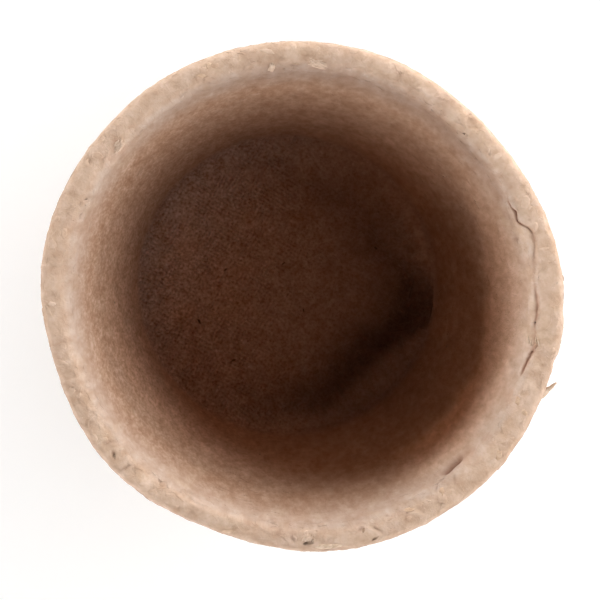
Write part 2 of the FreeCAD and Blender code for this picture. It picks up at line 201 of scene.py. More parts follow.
def ring_places(azimuth, radius, height=0.0):
    """Places round the axis, one for each azimuth."""
    height = np.broadcast_to(height, azimuth.shape)
    return np.stack([radius * np.cos(azimuth), radius * np.sin(azimuth), height], 1)


class Noise:
    """Gradient noise in three dimensions, about -1 to 1, the same on each run."""

    SIZE = 256
    GAIN = 1.7

    def __init__(self, seed):
        draw = np.random.default_rng(seed)
        self.table = np.tile(draw.permutation(self.SIZE), 2)
        vectors = draw.normal(size=(self.SIZE, 3))
        self.vectors = vectors / np.linalg.norm(vectors, axis=1, keepdims=True)

    def __call__(self, places):
        cell = np.floor(places).astype(int)
        inside = places - cell
        fade = inside ** 3 * (inside * (inside * 6 - 15) + 10)
        total = np.zeros(len(places))
        for corner in itertools.product((0, 1), repeat=3):
            offset = np.array(corner)
            x, y, z = ((cell + offset) % self.SIZE).T
            hashed = self.table[self.table[self.table[x] + y] + z]
            share = np.prod(np.where(offset == 1, fade, 1 - fade), axis=1)
            total += share * np.einsum("ij,ij->i", self.vectors[hashed], inside - offset)
        return total * self.GAIN


noises = [Noise(seed) for seed in range(1, 9)]
NOISE_SHIFT = 17.3


def lumps(places, size, which):
    """Noise whose lumps are about that size across, in millimetres."""
    return noises[which](places / size + NOISE_SHIFT * which)


def layered(places, table):
    """Layers of noise together: the size of the lumps, which noise, and the height of each."""
    return sum(height * lumps(places, size, which) for size, which, height in table)


# The rim's outline, as it was moulded: each wave round the pot has a height and a phase

OVAL_WAVES = [(2, 0.55, 55), (3, 0.09, 110)]
EDGE_WAVES = [(4, 0.07, -25), (5, 0.12, -35), (6, 0.05, 70), (7, 0.10, -110), (8, 0.04, 5)]
LEVEL_WAVES = [(2, 0.10, 20), (3, 0.07, 80), (5, 0.05, -60)]
INNER_ROUNDER = 0.5


def waves(azimuth, table):
    return sum(size * np.cos(count * azimuth + math.radians(phase))
               for count, size, phase in table)


# The split in the rim: where it runs on the rounding of the inner edge, as degrees round
# that edge from the flat of the rim, and half its opening, both by azimuth

SPLIT_LEAN = [(-40, 50), (-26, 50), (-19.4, 71), (-16.5, 60), (-14, 50), (-11, 40), (-9, 54),
              (-6, 55), (-2.3, 50), (1.2, 59), (6, 62), (8.6, 54), (13.4, 33), (16.2, 31),
              (17.3, 38), (18.7, 62), (19.6, 74), (21.7, 66), (25.3, 86), (28, 51), (50, 50)]
SPLIT_HALF = [(-20.5, 0.0), (-19, 0.04), (-16.5, 0.11), (-14, 0.07), (-11, 0.025), (-8, 0.03),
              (-4, 0.045), (0, 0.04), (4, 0.025), (6, 0.022), (10, 0.022), (12, 0.025), (15, 0.03),
              (18, 0.045), (20, 0.13), (22, 0.15), (24, 0.06), (26, 0.02), (28, 0.015), (30, 0.0)]
SPLIT_DEPTH_PER_HALF = 3.2
SPLIT_SIDE = 45.0
SPLIT_SIDE_FADE = 8.0
SPLIT_WANDER = [(1.7, 2, 0.12), (0.6, 3, 0.06)]
SPLIT_BREAKS = [(0.9, 4, 1.0), (0.4, 5, 0.6)]
SPLIT_BREAK_SHARE = 0.9
SPLIT_LEAST_HALF = 0.02
SPLIT_EDGE_SHARES = (1.25, 0.7)
# The reddish brown in and beside the split: partly a stain, partly painted shade of the split's depth
SPLIT_STAIN = 0.22
SPLIT_STAIN_NARROWER = 1.3
SPLIT_FULL_STAIN_HALF = 0.06
SPLIT_RELIEF_SHARE = 0.3
LIP_RISE = 0.16
LIP_REACH = 0.9
LIP_FULL_HALF = 0.1
TABLE_SMOOTHING = 0.6


def by_azimuth(table, azimuth):
    """Value of a table of (degrees, value) at azimuths in radians."""
    degrees = (np.degrees(azimuth) + 180) % 360 - 180
    xs, ys = zip(*table)
    shifts = np.linspace(-TABLE_SMOOTHING, TABLE_SMOOTHING, 5)
    return sum(np.interp(degrees + shift, xs, ys) for shift in shifts) / len(shifts)


def split_side(azimuth):
    """Whether a place is on the side of the pot where the split runs."""
    return np.abs(np.degrees(azimuth)) < SPLIT_SIDE


def split_station(azimuth):
    """Where the split runs, along the outline."""
    lean = by_azimuth(SPLIT_LEAN, azimuth) / 90
    wander = layered(ring_places(azimuth, MOUTH_RADIUS), SPLIT_WANDER)
    return TOP_END + (RIM_END - TOP_END) * lean + wander


SPLIT_MIDDLE = (TOP_END + RIM_END) / 2

# Dents, bumps and stains of the rim and the inner wall: azimuth, place along the outline,
# length, width, turn from along the rim, height, and how dark the pulp is painted there, partly
# as stains and partly as painted shade in the dents, or how light where that is below zero

MARKS_OFFSET = 0.8
MARKS_START = TOP_START + MARKS_OFFSET
RIM_MARKS = [
    (-48.4, 4.2, 3.0, 2.1, 12, -0.70, 1.15),
    (-50.2, 0.9, 1.3, 0.30, 58, -0.12, 0.28),
    (-54.8, 1.6, 1.3, 0.30, 55, -0.15, 0.18),
    (-143.5, 0.1, 1.7, 0.40, 60, -0.12, 0.26),
    (-136.5, -0.6, 1.9, 0.40, 78, -0.12, 0.24),
    (-128.0, 0.9, 1.2, 0.35, -30, -0.10, 0.20),
    (-96.0, 0.2, 1.5, 0.50, 65, -0.12, 0.24),
    (-92.5, -0.3, 0.9, 0.40, -50, -0.12, 0.30),
    (-64.0, 0.6, 1.4, 0.35, 50, -0.12, 0.22),
    (-61.0, 0.0, 1.1, 0.35, -65, -0.10, 0.20),
    (-89.0, -0.7, 1.1, 0.45, 10, -0.25, 0.10),
    (-84.2, -1.6, 3.6, 0.25, 3, -0.15, 0.10),
    (-72.3, -0.1, 1.6, 0.35, -43, -0.15, 0.22),
    (-75.9, 0.4, 0.7, 0.35, 20, -0.15, 0.35),
    (-73.6, -1.1, 0.8, 0.30, 30, -0.10, 0.30),
    (-89.0, 0.6, 1.8, 1.2, 30, 0.20, 0.0),
    (-140.7, -0.45, 0.8, 0.4, -40, -0.20, 0.35),
    (-132.7, -2.3, 1.2, 0.5, 10, -0.20, 0.20),
    (-132.2, -1.0, 2.4, 1.3, 20, 0.25, 0.0),
    (24.5, -0.95, 0.35, 0.25, 0, 0.0, 0.55),
    (15.1, 5.25, 3.0, 0.40, 90, -0.08, 0.35),
    (92.0, 1.35, 1.1, 0.35, -10, -0.05, 0.25),
    (86.6, 0.9, 2.6, 1.0, -20, 0.20, -0.08),
    (97.9, 1.6, 1.2, 0.7, 80, 0.22, 0.0),
    (114.0, -0.4, 2.2, 1.0, -30, 0.15, 0.0),
    (140.5, 1.0, 1.8, 0.8, 10, 0.20, -0.12),
    (39.3, 5.5, 1.5, 0.35, 5, -0.25, 0.20),
    (22.0, 3.3, 3.5, 0.9, 4, 0.20, 0.0),
    (-11.0, 2.2, 4.0, 0.7, -3, 0.18, 0.0),
    (-38.8, -1.6, 2.0, 0.9, 30, 0.20, 0.0),
    (8.0, -1.5, 5.0, 1.2, 0, 0.15, 0.0),
    (-8.0, -2.4, 4.5, 1.4, 0, 0.30, 0.0),
    (2.0, -2.8, 5.0, 1.0, 0, 0.25, 0.0),
    (63.0, 0.8, 3.0, 0.6, -15, 0.12, 0.0),
    (-160.0, -1.2, 2.2, 0.8, 45, -0.15, 0.06),
    (165.0, -0.6, 2.8, 1.1, -25, 0.15, 0.0),
    (-118.0, -1.0, 1.4, 0.5, 60, -0.15, 0.08),
    (130.0, -1.6, 1.8, 0.6, 15, -0.15, 0.06),
    (48.0, -1.3, 2.0, 0.7, -35, -0.15, 0.06),
    (135.0, 22.1, 1.6, 0.3, 40, 0.05, -0.20),
    (142.2, 20.4, 1.6, 0.3, 40, -0.05, 0.25),
]

# The crease round the raised middle of the floor, which was pressed unevenly: its radius
# and its depth by azimuth, how gently it falls on its inner side and how steeply it rises
# on its outer side, and the low ridge beyond it

CREASE_RADIUS = [(-180, 20.6), (-150, 20.4), (-120, 19.2), (-103, 18.6), (-83, 17.9), (-74, 18.0),
                 (-65, 17.2), (-57, 16.4), (-48, 16.1), (-38, 16.1), (-30, 16.8), (-22, 18.6),
                 (-14, 20.4), (-6, 20.8), (0, 20.4), (5, 19.4), (10, 17.8), (16, 15.7), (22, 15.0),
                 (50, 15.5), (81, 15.5), (90, 17.4), (97, 19.0), (104, 19.6), (125, 20.2),
                 (150, 20.6), (180, 20.6)]
CREASE_DEPTH = [(-180, 0.05), (-120, 0.15), (-105, 0.45), (-85, 0.75), (-60, 1.05), (-35, 1.00),
                (-24, 0.75), (-14, 0.95), (-4, 0.95), (5, 0.50), (12, 0.35), (22, 0.40),
                (50, 0.42), (72, 0.40), (88, 0.30), (102, 0.30), (125, 0.06), (180, 0.05)]
CREASE_INNER = 5.0
CREASE_OUTER = 1.6
RIDGE_HEIGHT = 0.25
RIDGE_OFFSET = 2.2
RIDGE_WIDTH = 1.2
RIDGE_FADE = 1.5
RIDGE_FULL_DEPTH = 0.3
FLOOR_RELIEF_FADE = 3.0

# Painted shade and light on the pulp, as a share of its brightness: painted shade in the crease
# and in the pocket at its right end (azimuth, radius, length, width, strength), in the corner
# beyond the crease and across the floor towards the right, turning to painted light towards the
# left, and by azimuth on the rim, on the wall near the rim and on the wall low down, shade above
# zero and light below it. On the right the wall has a painted shadow on its lower part, with a
# fuzzy upper limit, and painted light above it. A side is a middle azimuth, the cosine from it
# where the side starts, and the fade of that cosine.

CREASE_PAINTED_SHADE = 0.46
CREASE_FULL_DEPTH = 1.1
CREASE_DARK_FADE = 3.0
POCKETS = [(-7.0, 20.3, 6.4, 1.8, 0.50), (-10.3, 20.9, 3.0, 0.7, 0.80),
           (-14.3, 20.0, 1.2, 0.6, 0.70)]
POCKET_FADE = 1.0
CORNER_PAINTED_SHADE = 0.26
CORNER_OFFSET = 2.0
CORNER_SPREAD = 4.5
CORNER_SIDE = (-42.0, 0.60, 0.35)
# Painted shade across the floor, growing towards the right, and painted light towards the left
FLOOR_TILT = 0.48
FLOOR_TILT_AZIMUTH = -4.0
FLOOR_TILT_START = 1.0
FLOOR_TILT_FADE = 6.0
# Painted shade and light on the rim by azimuth, and painted shade on its outer rounding
RIM_PAINTED_LIGHT_AND_SHADE = [(-180, 0.05), (-135, 0.04), (-90, 0.08), (-45, -0.01), (0, -0.02), (45, -0.17),
            (90, -0.04), (135, 0.01), (180, 0.05)]
RIM_DARK_FADE = 2.0
OUTER_EDGE_PAINTED_SHADE = 0.06
OUTER_EDGE_ENDS = (-0.5, -0.8)
OUTER_EDGE_FADE = 0.7
NEAR_RIM_PAINTED_LIGHT_AND_SHADE = [(-180, 0.20), (-150, 0.17), (-120, 0.14), (-90, 0.14), (-72, 0.19),
                 (-50, 0.12), (-35, 0.06), (-20, -0.03), (0, -0.02), (14, 0.06), (26, 0.26),
                 (42, 0.42), (62, 0.42), (90, 0.41), (110, 0.35), (140, 0.14), (180, 0.20)]
NEAR_RIM_START = -0.8
NEAR_RIM_FADE = 3.2
NEAR_RIM_REACH = 14.0
LOW_WALL_PAINTED_LIGHT_AND_SHADE = [(-180, -0.23), (-150, -0.38), (-110, -0.27), (-80, 0.0), (-60, 0.26),
                 (-42, 0.20), (-15, 0.06), (30, 0.0), (55, -0.12), (90, -0.02), (145, 0.0),
                 (180, -0.23)]
LOW_WALL_START = 15.0
LOW_WALL_FADE = 15.0
LOW_WALL_END = 5.0
LINE_STATION_SHARE = 0.40
LINE_FADE = 6.0
LINE_LAYERS = [(6.0, 1, 3.0), (2.0, 2, 1.8)]
PAINTED_WALL_SHADOW = 0.20
DARK_WALL_SIDE = (-10.0, 0.66, 0.24)
DARK_WALL_END = 2.0
DARK_WALL_FADE = 6.0
PAINTED_WALL_LIGHT = [(-64, 0.0), (-44, -0.43), (-22, -0.37), (5, -0.22), (25, -0.12), (42, 0.0)]
LIGHT_WALL_FADE = 8.0
MARK_SHADE = 0.5
MARK_STAIN = 0.85
DARKEST = 0.95


def crease_shape(radius, azimuth):
    """How deep in the crease a place is, from 0 to 1."""
    offset = radius - by_azimuth(CREASE_RADIUS, azimuth)
    reach = np.where(offset < 0, CREASE_INNER, CREASE_OUTER)
    return np.exp(-(offset / reach) ** 2)


def floor_relief(radius, azimuth):
    """The raised middle of the floor, and the crease and the ridge round it."""
    offset = radius - by_azimuth(CREASE_RADIUS, azimuth)
    depth = by_azimuth(CREASE_DEPTH, azimuth)
    plateau = PLATEAU_RISE * smooth(-offset / PLATEAU_SLOPE)
    ridge = RIDGE_HEIGHT * np.exp(-((offset - RIDGE_OFFSET) / RIDGE_WIDTH) ** 2)
    ridge = ridge * smooth((FLOOR_RADIUS - radius) / RIDGE_FADE) * smooth(depth / RIDGE_FULL_DEPTH)
    return plateau - depth * crease_shape(radius, azimuth) + ridge


def floor_painted_light_and_shade(s, azimuth):
    """Painted shade in the crease, its pocket, the corner and on the right of the floor, and painted
    light on its left.
    """
    radius = np.interp(s, fine_s, fine_radius)
    depth = by_azimuth(CREASE_DEPTH, azimuth)
    dark = CREASE_PAINTED_SHADE * smooth(depth / CREASE_FULL_DEPTH) * crease_shape(radius, azimuth)
    dark = dark * rising(s, WALL_END, CREASE_DARK_FADE)
    for degrees, place, length, width, strength in POCKETS:
        around = turn_from(degrees, azimuth) * place
        shape = np.exp(-(around / length * 2) ** 2 - ((radius - place) / width * 2) ** 2)
        dark = np.maximum(dark, strength * shape * rising(s, WALL_END, POCKET_FADE))
    corner = np.exp(-((s - WALL_END - CORNER_OFFSET) / CORNER_SPREAD) ** 2)
    tilt = np.cos(azimuth - math.radians(FLOOR_TILT_AZIMUTH)) * radius / FLOOR_RADIUS
    tilt = tilt * rising(s, WALL_END + FLOOR_TILT_START, FLOOR_TILT_FADE)
    return dark + CORNER_PAINTED_SHADE * corner * facing(azimuth, *CORNER_SIDE) + FLOOR_TILT * tilt


def wall_painted_light_and_shade(s, azimuth):
    """Painted shade and light on the inner wall, near the rim and low down, and on the right a painted
    shadow low down with painted light above it.
    """
    near_rim = rising(s, TOP_END + NEAR_RIM_START, NEAR_RIM_FADE)
    near_rim = near_rim * falling(s, RIM_END + NEAR_RIM_REACH, NEAR_RIM_REACH)
    low = rising(s, RIM_END + LOW_WALL_START, LOW_WALL_FADE)
    low = low * falling(s, WALL_END + LOW_WALL_END, LOW_WALL_END)

    # The fuzzy upper limit of the painted shadow on the lower right wall
    line = RIM_END + (WALL_END - RIM_END) * LINE_STATION_SHARE
    line = line + layered(ring_places(azimuth, RIM_RADIUS), LINE_LAYERS)
    below = smooth((s - line) / LINE_FADE + 0.5)
    lower = below * falling(s, WALL_END + DARK_WALL_END, DARK_WALL_FADE)
    upper = (1 - below) * rising(s, RIM_END, LIGHT_WALL_FADE)
    return (near_rim * by_azimuth(NEAR_RIM_PAINTED_LIGHT_AND_SHADE, azimuth) + low * by_azimuth(LOW_WALL_PAINTED_LIGHT_AND_SHADE, azimuth)
            + lower * PAINTED_WALL_SHADOW * facing(azimuth, *DARK_WALL_SIDE)
            + upper * by_azimuth(PAINTED_WALL_LIGHT, azimuth))


def rim_painted_light_and_shade(s, azimuth):
    """Painted shade on the rim's outer edge, and painted shade and light on the rim by azimuth."""
    before, past = OUTER_EDGE_ENDS
    edge = between(s, RIM_START + before, TOP_START + past, OUTER_EDGE_FADE)
    rim = between(s, RIM_START - RIM_DARK_FADE, RIM_END, RIM_DARK_FADE)
    return OUTER_EDGE_PAINTED_SHADE * edge + rim * by_azimuth(RIM_PAINTED_LIGHT_AND_SHADE, azimuth)


def painted_light_and_shade(s, azimuth):
    """How much darker the pulp is painted: painted shade, painted light where below zero, and the marks'
    darkness.
    """
    dark = floor_painted_light_and_shade(s, azimuth) + wall_painted_light_and_shade(s, azimuth) + rim_painted_light_and_shade(s, azimuth)
    mark = marks_at(s, azimuth)[1]
    return np.minimum(dark + np.where(mark > 0, mark * MARK_SHADE, mark), DARKEST)


def marks_at(s, azimuth):
    """The relief of the dents and bumps of the rim, and how dark they are painted, partly as stains and
    partly as painted shade in the dents.
    """
    rise, dark = np.zeros_like(s), np.zeros_like(s)
    for degrees, place, length, width, turn, height, depth in RIM_MARKS:
        around = turn_from(degrees, azimuth) * (RIM_RADIUS - RIM_WIDTH / 2)
        across = s - MARKS_START - place
        near = (np.abs(around) < length + width) & (np.abs(across) < length + width)
        cosine, sine = math.cos(math.radians(turn)), math.sin(math.radians(turn))
        u = (around[near] * cosine + across[near] * sine) / (length / 2)
        v = (across[near] * cosine - around[near] * sine) / (width / 2)
        shape = np.exp(-u ** 4 - v ** 2)
        rise[near] += height * shape
        dark[near] += depth * shape
    return rise, dark


# Zones of the relief: where each starts and ends, and the fade beyond both

RELIEF_ZONES = {
    "rim": (BAND_END + 1.2, RIM_END + 0.3, 1.4),
    "edge": (RIM_START - 0.8, TOP_START + 0.3, 1.0),
    "wall": (RIM_END + 1.0, WALL_END, 1.5),
    "outside": (FOOT_START, RIM_START - 3.0, 2.5),
}
BOTTOM_FADE = 2.5
UNDER_FADE = 1.5
RIM_OUTER_SHARE = 0.4
RIM_OUTER_FADE = 1.5

# Layers of the relief: the size of the lumps and which noise, then those that only stand
# out or only sink in, from a level of the noise on, and the streaks down the wall, as the
# radius of the ring and the pace along the outline at which their noise is read

LUMP_LAYERS = {"lump_7": (7.0, 5), "lump_5": (5.2, 0), "lump_2": (2.3, 1), "lump_1": (1.05, 2),
               "grain": (0.55, 3)}
SPARSE_LAYERS = {"crumbs": (1.5, 6, 0.12), "pores": (0.8, 7, 0.42)}
STREAK_RING = 4.2
STREAK_PACE = 1.6
THIN_STREAK_SHARE = 1.7
THIN_STREAK_PACE = 3.4

# The height of each layer in each zone

COARSE_RELIEF = [("rim", "lump_5", 0.05), ("edge", "lump_2", 0.03), ("wall", "lump_7", 0.09),
                 ("outside", "lump_5", 0.22), ("under", "lump_5", 0.12), ("bottom", "lump_5", 0.08)]
FINE_RELIEF = {
    "rim": {"lump_2": 0.095, "lump_1": 0.050, "grain": 0.020, "crumbs": 0.06, "pores": -0.20},
    "edge": {"lump_1": 0.020, "grain": 0.014},
    "wall": {"lump_2": 0.040, "streaks": 0.022, "thin_streaks": 0.012, "lump_1": 0.022,
             "grain": 0.012},
    "outside": {"lump_2": 0.12, "lump_1": 0.085, "grain": 0.045, "crumbs": 0.20, "pores": -0.8,
                "thin_streaks": 0.04},
    "under": {"lump_2": 0.07, "lump_1": 0.06, "grain": 0.03},
    "bottom": {"lump_2": 0.035, "lump_1": 0.022, "grain": 0.014},
}


def relief_of(s, azimuth, places):
    """Coarse and fine relief of the pulp along its outward normal."""
    zones = {name: between(s, *ends) for name, ends in RELIEF_ZONES.items()}
    on_top = rising(s, RIM_START, RIM_OUTER_FADE)
    zones["rim"] = zones["rim"] * (RIM_OUTER_SHARE + (1 - RIM_OUTER_SHARE) * on_top)
    zones["bottom"] = rising(s, WALL_END, BOTTOM_FADE)
    zones["under"] = smooth(1 - (s - FOOT_START) / UNDER_FADE)

    layers = {name: lumps(places, *kind) for name, kind in LUMP_LAYERS.items()}
    for name, (size, which, level) in SPARSE_LAYERS.items():
        layers[name] = np.maximum(0, lumps(places, size, which) - level)
    ring = ring_places(azimuth, STREAK_RING)
    layers["streaks"] = noises[4](ring + np.outer(s, (0, 0, STREAK_PACE)))
    ring = ring * THIN_STREAK_SHARE
    layers["thin_streaks"] = noises[5](ring + np.outer(s, (0, 0, THIN_STREAK_PACE)))

    coarse = sum(zones[zone] * height * layers[layer] for zone, layer, height in COARSE_RELIEF)
    fine = sum(zones[zone] * sum(height * layers[layer] for layer, height in heights.items())
               for zone, heights in FINE_RELIEF.items())
    return coarse, fine


def split_relief(s, azimuth):
    """The split in the rim, with its lips a little raised."""
    breaks = layered(ring_places(azimuth, MOUTH_RADIUS), SPLIT_BREAKS)
    half = by_azimuth(SPLIT_HALF, azimuth) * np.maximum(1 + SPLIT_BREAK_SHARE * breaks, 0)
    offset = np.abs(s - split_station(azimuth))
    width = np.maximum(half, SPLIT_LEAST_HALF)
    outermost, edge = (width * share for share in SPLIT_EDGE_SHARES)
    slot = smooth((outermost - offset) / edge)
    lips = LIP_RISE * smooth(half / LIP_FULL_HALF)
    lips = lips * np.exp(-((offset - LIP_REACH / 2) / LIP_REACH * 2) ** 2)
    return lips - slot * half * SPLIT_DEPTH_PER_HALF


def stain_and_split_shade(s, azimuth):
    """How much reddish brown shows: in the split and on its lips, partly a stain and partly painted
    shade of the split's depth, and in the marks.
    """
    offset = np.abs(s - split_station(azimuth))
    half = by_azimuth(SPLIT_HALF, azimuth)
    stain = np.exp(-(offset / (half + SPLIT_STAIN) * SPLIT_STAIN_NARROWER) ** 2)
    stain = np.where(split_side(azimuth), stain * smooth(half / SPLIT_FULL_STAIN_HALF), 0)
    return np.clip(np.maximum(stain, marks_at(s, azimuth)[1] * MARK_STAIN), 0, 1)


# How the waves of the rim's outline and of its level die out down the pot

OVAL_POWER = 1.5
EDGE_WAVE_FADE = 4.0
LEVEL_WAVE_REACH = 14.0


def surface(s, azimuth, lift=0.0):
    """Places on the pulp, its outward normals and its fine relief."""
    radius, height, normal_radius, normal_height = (
        np.interp(s, fine_s, values)
        for values in (fine_radius, fine_height, fine_normal_radius, fine_normal_height))
    coarse, fine = relief_of(s, azimuth, ring_places(azimuth, radius, height))
    detail = fine + marks_at(s, azimuth)[0]
    on_floor = rising(s, WALL_END, FLOOR_RELIEF_FADE)
    split = np.where(split_side(azimuth), split_relief(s, azimuth), 0)
    relief = coarse + detail + split + on_floor * floor_relief(radius, azimuth) + lift

    up_share = np.clip(height / HEIGHT, 0, 1) ** OVAL_POWER
    up_share = up_share * (1 - INNER_ROUNDER * rising(s, TOP_START, RIM_WIDTH))
    outer = between(s, BAND_ROOT_END, TOP_START, EDGE_WAVE_FADE)
    shift = waves(azimuth, OVAL_WAVES) * up_share + waves(azimuth, EDGE_WAVES) * outer
    near_top = smooth((height - HEIGHT + LEVEL_WAVE_REACH) / LEVEL_WAVE_REACH)
    reach = radius + shift + relief * normal_radius
    level = height + waves(azimuth, LEVEL_WAVES) * near_top + relief * normal_height
    places = ring_places(azimuth, reach, np.maximum(level, 0))
    normals = ring_places(azimuth, normal_radius, normal_height)
    return places, normals, fine + split * SPLIT_RELIEF_SHARE


def in_scene(name, data):
    """New object with that data, in the scene."""
    made = bpy.data.objects.new(name, data)
    bpy.context.scene.collection.objects.link(made)
    return made


def tube_sides(stations, sides):
    """Faces round a tube that has as many rings of as many corners."""
    ring = np.arange(sides)
    following = (ring + 1) % sides
    low = np.arange(stations - 1)[:, None] * sides
    high = low + sides
    return np.stack([low + ring, low + following, high + following, high + ring], -1).reshape(-1, 4)


def mesh_object(name, places, faces, material, smooth_shading=True):
    """Object made of places in millimetres and faces, in the frame's metres."""
    mesh = bpy.data.meshes.new(name)
    mesh.from_pydata((np.asarray(places) * MM).tolist(), [], [list(face) for face in faces])
    mesh.polygons.foreach_set("use_smooth", [smooth_shading] * len(mesh.polygons))
    mesh.materials.append(material)
    mesh.update()
    return in_scene(name, mesh)


# Where the pulp's colours change along the outline: how far the rim's reach down outside and
# inside, where the inner wall's and the floor's begin, and the ends and fade of the rim's top,
# whose warmer colour is painted warm light

RIM_TONE_REACH = (5.0, 16.0)
INSIDE_TONE_FADE = 2.5
BOTTOM_TONE_START = -4.0
BOTTOM_TONE_FADE = 5.0
TOP_TONE = (-0.7, 0.8, 0.9)


def felt_layers(mesh, s, azimuth, relief, shade):
    """Stores what the pulp's material reads: zones along the outline, relief and tone, painted shade and
    light, stain, and the rim's top with its painted warm light.
    """
    outside, inside = RIM_TONE_REACH
    layers = {
        "rim": rising(s, RIM_START - outside, outside) * falling(s, TOP_END + inside, inside),
        "inside": rising(s, TOP_END, INSIDE_TONE_FADE),
        "bottom": rising(s, WALL_END + BOTTOM_TONE_START, BOTTOM_TONE_FADE),
        "relief": relief,
        "shade": shade,
        "dark": painted_light_and_shade(s, azimuth),
        "stain": stain_and_split_shade(s, azimuth),
        "top": between(s, TOP_START + TOP_TONE[0], TOP_END + TOP_TONE[1], TOP_TONE[2]),
    }
    for name, values in layers.items():
        layer = mesh.attributes.new(name, "FLOAT", "POINT")
        layer.data.foreach_set("value", np.broadcast_to(values, s.shape).astype(np.float32))


# Node materials


class Nodes:
    """Builds nodes in the tree of a material or of the world."""

    def __init__(self, owner):
        owner.use_nodes = True
        self.tree = owner.node_tree
        self.tree.nodes.clear()

    def node(self, kind, inputs=(), **settings):
        made = self.tree.nodes.new("ShaderNode" + kind)
        for key, value in settings.items():
            setattr(made, key, value)
        for key, value in dict(inputs).items():
            self.feed(made.inputs[key], value)
        return made

    def feed(self, socket, value):
        if isinstance(value, bpy.types.NodeSocket):
            self.tree.links.new(value, socket)
        else:
            socket.default_value = value

    def math(self, operation, first, second=0.0, third=0.0, clamp=False):
        inputs = {0: first, 1: second, 2: third}
        return self.node("Math", inputs, operation=operation, use_clamp=clamp).outputs[0]

    def times(self, first, second):
        return self.math("MULTIPLY", first, second)


class Shader(Nodes):
    """Builds one node material."""

    def __init__(self, name):
        self.material = bpy.data.materials.new(name)
        super().__init__(self.material)
        self.body = self.node("BsdfPrincipled")
        self.node("OutputMaterial", {"Surface": self.body.outputs[0]})
        self.coordinates = self.node("TexCoord").outputs["Object"]

    def turned(self, sizes, turn=(0, 0, 0)):
        """The coordinates turned, then divided by a size in metres along each axis."""
        made = self.node("Mapping", {"Vector": self.coordinates, "Scale": sizes,
                                     "Rotation": [math.radians(angle) for angle in turn]},
                         vector_type="TEXTURE")
        return made.outputs[0]

    def axes(self, vector):
        return self.node("SeparateXYZ", {0: vector}).outputs

    def noise(self, size, detail=2.0, stretch=(1, 1, 1), turn=(0, 0, 0), distortion=0.0):
        """Noise with lumps of a size in millimetres, stretched and turned, from about 0 to 1."""
        vector = self.turned([size * MM * part for part in stretch], turn)
        made = self.node("TexNoise", {"Vector": vector, "Scale": 1.0, "Detail": detail,
                                      "Roughness": 0.55, "Distortion": distortion})
        return made.outputs[0]

    def span(self, value, low, high, to_low=0.0, to_high=1.0):
        """Maps low to high onto another span, held at its ends."""
        made = self.node("MapRange", {0: value, 1: low, 2: high, 3: to_low, 4: to_high})
        return made.outputs[0]

    def faded(self, value, mask, at_none, at_full):
        """The value times a share that goes from at_none to at_full as a mask goes from 0 to 1."""
        return self.times(value, self.span(mask, 0, 1, at_none, at_full))

    def swing(self, value, low, high, down, up, share):
        """1, changed by down to up times a share, as the value goes from low to high."""
        return self.math("MULTIPLY_ADD", self.span(value, low, high, down, up), share, 1.0)

    def attribute(self, name):
        return self.node("Attribute", attribute_name=name).outputs["Fac"]

    def mix(self, share, first, second, kind="MIX"):
        colours = [value if isinstance(value, bpy.types.NodeSocket) else (*value, 1.0)
                   for value in (first, second)]
        inputs = {0: share, 6: colours[0], 7: colours[1]}
        return self.node("Mix", inputs, data_type="RGBA", blend_type=kind).outputs[2]

    def lighten(self, colour, factor):
        """Colour times a number."""
        return self.node("VectorMath", {0: colour, "Scale": factor}, operation="SCALE").outputs[0]

    def toned(self, colour, factor):
        """Colour times a number, deeper in hue where it gets darker."""
        parts = [self.math("POWER", factor, power) for power in TONE_POWERS]
        tint = self.node("CombineXYZ", dict(enumerate(parts))).outputs[0]
        return self.node("VectorMath", {0: colour, 1: tint}, operation="MULTIPLY").outputs[0]

    def bump(self, height, distance, below=None):
        inputs = {"Height": height, "Distance": distance * MM, "Strength": 1.0}
        if below is not None:
            inputs["Normal"] = below
        return self.node("Bump", inputs).outputs[0]

    def finish(self, colour, normal=None, roughness=0.95, specular=0.25):
        self.feed(self.body.inputs["Base Color"], colour)
        self.feed(self.body.inputs["Roughness"], roughness)
        self.body.inputs["Specular IOR Level"].default_value = specular
        if normal is not None:
            self.feed(self.body.inputs["Normal"], normal)
        return self.material


# The rim's colour on its rounded sides, and a warmer copy on its flat top as painted warm bounce light
RIM_COLOUR = (0.588, 0.450, 0.360)
TOP_PAINTED_LIGHT_COLOUR = (0.640, 0.457, 0.340)
TAN_COLOUR = (0.510, 0.348, 0.245)
INNER_COLOUR = (0.558, 0.352, 0.238)
FLOOR_COLOUR = (0.545, 0.382, 0.308)
# The outside's colour, a darker copy of the pulp: painted shade for its pores and against the strong low
# light on the outer wall
OUTER_PAINTED_SHADE_COLOUR = (0.375, 0.250, 0.168)
PINK_COLOUR = (0.590, 0.415, 0.322)
DEEP_PINK_COLOUR = (0.545, 0.350, 0.246)
YELLOW_COLOUR = (0.625, 0.450, 0.315)
GREY_COLOUR = (0.500, 0.385, 0.300)
SPECK_COLOUR = (0.230, 0.140, 0.090)
PALE_COLOUR = (0.690, 0.535, 0.410)
# STAIN_COLOUR: a reddish brown stain, which in the split also stands for painted shade of its depth
STAIN_COLOUR = (0.330, 0.150, 0.085)
SHADE_COLOUR = (0.110, 0.030, 0.010)
THREAD_COLOUR = (0.330, 0.210, 0.140)

# The powers that darken red, green and blue; how much the mottling is drawn out down the
# wall; and the pitch, the turn and the warp of the forming screen

TONE_POWERS = (0.80, 1.15, 1.50)
WALL_STRETCH = 0.32
SCREEN_PITCH = 0.55
SCREEN_TURN = 30.0
SCREEN_WARP = 0.25

# Patches of another colour: their size, turn and distortion, from where to where in the
# noise they come up, and how strong they get

